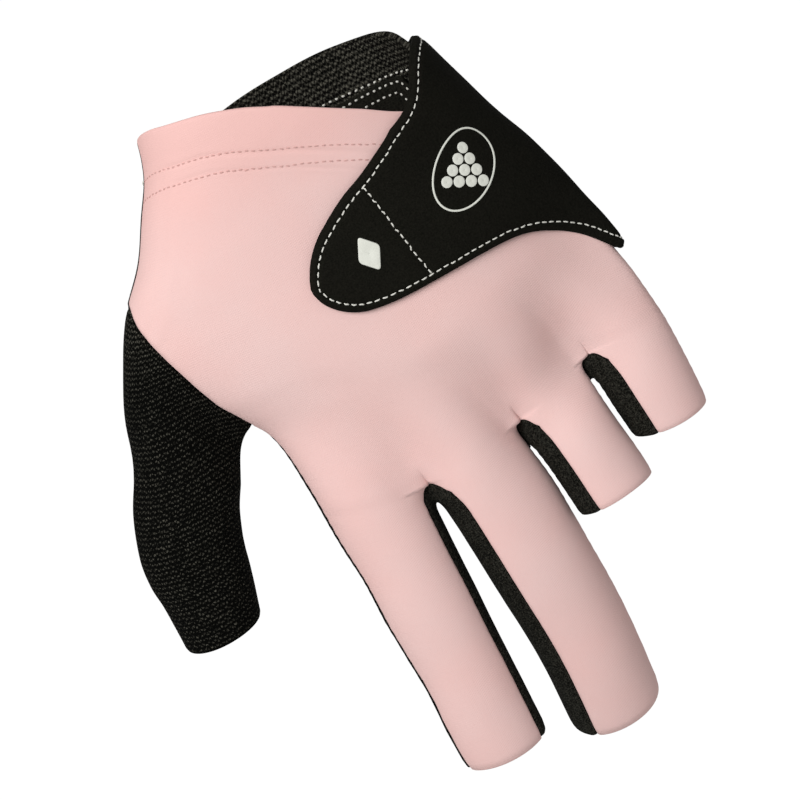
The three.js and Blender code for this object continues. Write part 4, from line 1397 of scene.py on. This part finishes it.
finishes = {
    "blush": knitMaterial("blush fine knit", {
        "wale": 0.62, "course": 0.5, "fuzz": 0.5, "valleyShade": 0.3, "gloss": 0.08, "sheen": 0.04,
        "pale": "ECCDC9", "deep": "EFC1BB", "patch": 26.0, "cloud": 1.0, "fleck": 0.4, "bump": 0.00006,
        "cuffTint": 0.7,
    }),
    "mesh": meshMaterial("black open mesh", {
        "pitch": 1.4, "wander": 0.9, "knotHighlight": 1.1, "ground": 0.78, "gloss": 0.03, "sheen": 0.0,
        "pale": "5A584F", "deep": "070706", "patch": 9.0, "cloud": 0.25, "fleck": 0.9, "bump": 0.0003,
    }),
    "side": knitMaterial("black side knit", {
        "wale": 0.8, "course": 0.7, "fuzz": 1.2, "valleyShade": 0.9, "gloss": 0.04, "sheen": 0.0,
        "pale": "45443D", "deep": "080806", "patch": 6.0, "cloud": 0.4, "fleck": 3.0, "bump": 0.00018,
        "cuffTint": 0,
    }),
    "strap": knitMaterial("black strap cloth", {
        "wale": 0.5, "course": 0.4, "fuzz": 0.9, "valleyShade": 0.3, "gloss": 0.04, "sheen": 0.0,
        "pale": "1B1A15", "deep": "0A0A07", "patch": 14.0, "cloud": 0.3, "fleck": 1.8, "bump": 0.00005,
        "cuffTint": 0,
    }),
    "lining": knitMaterial("black patch cloth", {
        "wale": 0.6, "course": 0.5, "fuzz": 1.0, "valleyShade": 0.5, "gloss": 0.04, "sheen": 0.0,
        "pale": "2A2923", "deep": "0A0A08", "patch": 5.0, "cloud": 0.4, "fleck": 2.0, "bump": 0.00007,
        "cuffTint": 0,
    }),
}


def threadMaterial(name, pale, deep):
    material, tree, shader, weave, spot = startMaterial(name, Specular_IOR_Level=0.3, Sheen_Weight=0.1)
    x, y = splitPlace(tree, weave)
    twist = calc(tree, "MULTIPLY_ADD", x, 3.2, calc(tree, "MULTIPLY", y, 1.6))
    ply = calc(tree, "PINGPONG", twist, 0.5)
    # painted shade: the thread is painted deeper in the grooves between its plies
    shade = calc(tree, "MULTIPLY_ADD", ply, -1.2, 0.4)
    tone = placeGroup(
        tree, clothTone, {"Place": spot, "Shade": shade}, Pale=linear(pale), Deep=linear(deep),
        Patch=2.0, Cloud=0.8, Fleck=0.5,
    )
    paint(tree, shader, tone)
    addBump(tree, shader, ply, 0.00008)
    return material


def filmMaterial(name, pale, deep):
    material, tree, shader, weave, spot = startMaterial(name, Specular_IOR_Level=0.5)
    tone = placeGroup(
        tree, clothTone, {"Place": spot}, Pale=linear(pale), Deep=linear(deep), Patch=3.0,
        Cloud=1.0, Fleck=0.9, Shade=0.0,
    )
    tree.links.new(tone["Color"], shader.inputs["Base Color"])
    rough = calc(tree, "MULTIPLY_ADD", tone["Rough"], 0.9, -0.3)
    tree.links.new(rough, shader.inputs["Roughness"])
    addBump(tree, shader, tone["Rough"], 0.00004)
    return material


finishes["white"] = threadMaterial("white thread", "F1F0E8", "B9B7AC")
finishes["rose"] = threadMaterial("rose thread", "DDAFA8", "B98A84")
finishes["silver"] = filmMaterial("silver film", "E6E7DD", "C9CAC0")
print("finishes:", len(finishes))


# What each piece is made of and what it stands for
nodeOf = {
    "backPanel": ("back_panel", "knit", "blush"),
    "palmPanel": ("palm_panel", "mesh", "mesh"),
    "thumbSleeve": ("thumb_sleeve", "mesh", "mesh"),
    "sideStripIndexMiddle": ("fourchette_index_middle", "side_cloth", "side"),
    "sideStripMiddleRing": ("fourchette_middle_ring", "side_cloth", "side"),
    "sideStripRingLittle": ("fourchette_ring_little", "side_cloth", "side"),
    "wristStrap": ("wrist_strap", "strap", "strap"),
    "cuffPatch": ("cuff_patch", "side_cloth", "lining"),
}
sewnOn = {
    "strapStitches": "white", "tabStitches": "white", "cuffStitches": "white",
    "patchStitches": "white", "hemStitches": "rose", "strapMark": "silver", "tabMark": "silver",
}
for name, (node, slot, finish) in nodeOf.items():
    pieces[name].data.materials.append(finishes[finish])
    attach(pieces[name], "root")
    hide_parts(node)
for name, finish in sewnOn.items():
    pieces[name].data.materials.append(finishes[finish])
    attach(pieces[name], "root")


# Floor, light and camera
stage = {
    "floorLevel": -0.9,
    "floorHalf": 26.0,
    "paper": "FBFBFA",
    "paperGlow": 0.66,  # seen by the camera only, so that the paper reads white
    "skyStrength": 0.37,
    "boxPower": 11.9,
    "boxSize": 0.72,
    "boxDistance": 1.2,
    "boxFrom": (-0.5, 0.14, -0.855),  # right, up and ahead, as the camera sees it
}
right, upward, ahead = (Vector(view[axis]) for axis in ("right", "up", "ahead"))


def standAt(thing, axes, spot):
    thing.matrix_world = Matrix((
        (axes[0][0], axes[1][0], axes[2][0], spot[0]),
        (axes[0][1], axes[1][1], axes[2][1], spot[1]),
        (axes[0][2], axes[1][2], axes[2][2], spot[2]),
        (0, 0, 0, 1),
    ))


lens = bpy.data.cameras.new("gloveCamera")
lens.lens, lens.sensor_width = view["lens"], view["sensor"]
camera = bpy.data.objects.new("gloveCamera", lens)
bpy.context.scene.collection.objects.link(camera)
target = Vector(view["target"]) * mm
standAt(camera, (right, upward, -ahead), target - ahead * view["distance"] * mm)
bpy.context.scene.camera = camera

half, z = stage["floorHalf"], stage["floorLevel"]
floorMesh = bpy.data.meshes.new("paperFloor")
corners = [(-half, -half, z), (half, -half, z), (half, half, z), (-half, half, z)]
floorMesh.from_pydata(corners, [], [[0, 1, 2, 3]])
floor = bpy.data.objects.new("paperFloor", floorMesh)
bpy.context.scene.collection.objects.link(floor)
paper, paperTree, paperShader, _, paperSpot = startMaterial("floor paper", Specular_IOR_Level=0.1)
grain = noiseAt(paperTree, paperSpot, 40.0)
paperTree.links.new(calc(paperTree, "MULTIPLY_ADD", grain, 0.1, 0.85), paperShader.inputs["Roughness"])
paperShader.inputs["Base Color"].default_value = linear(stage["paper"])
paperShader.inputs["Emission Color"].default_value = (1, 1, 1, 1)
seen = paperTree.nodes.new("ShaderNodeLightPath")
glow = calc(paperTree, "MULTIPLY", seen.outputs["Is Camera Ray"], stage["paperGlow"])
paperTree.links.new(glow, paperShader.inputs["Emission Strength"])
floorMesh.materials.append(paper)

box = bpy.data.lights.new("softBox", "AREA")
box.shape, box.size, box.energy = "DISK", stage["boxSize"], stage["boxPower"]
softBox = bpy.data.objects.new("softBox", box)
bpy.context.scene.collection.objects.link(softBox)
fromRight, fromUp, fromAhead = stage["boxFrom"]
toLight = (right * fromRight + upward * fromUp + ahead * fromAhead).normalized()
sideways = toLight.cross(Vector((0, 0, 1))).normalized()
spot = target + toLight * stage["boxDistance"]
standAt(softBox, (sideways, toLight.cross(sideways), toLight), spot)

world = bpy.data.worlds.new("paleStudio")
bpy.context.scene.world = world
world.use_nodes = True
sky = world.node_tree
background = sky.nodes["Background"]
background.inputs["Color"].default_value = (1, 1, 1, 1)
background.inputs["Strength"].default_value = stage["skyStrength"]
backdrop = sky.nodes.new("ShaderNodeBackground")
backdrop.inputs["Color"].default_value = (0.98, 0.98, 0.98, 1)
seen = sky.nodes.new("ShaderNodeLightPath")
choose = sky.nodes.new("ShaderNodeMixShader")
sky.links.new(seen.outputs["Is Camera Ray"], choose.inputs[0])
sky.links.new(background.outputs[0], choose.inputs[1])
sky.links.new(backdrop.outputs[0], choose.inputs[2])
sky.links.new(choose.outputs[0], sky.nodes["World Output"].inputs["Surface"])
bpy.context.scene.view_settings.view_transform = "Standard"
print("stage set")
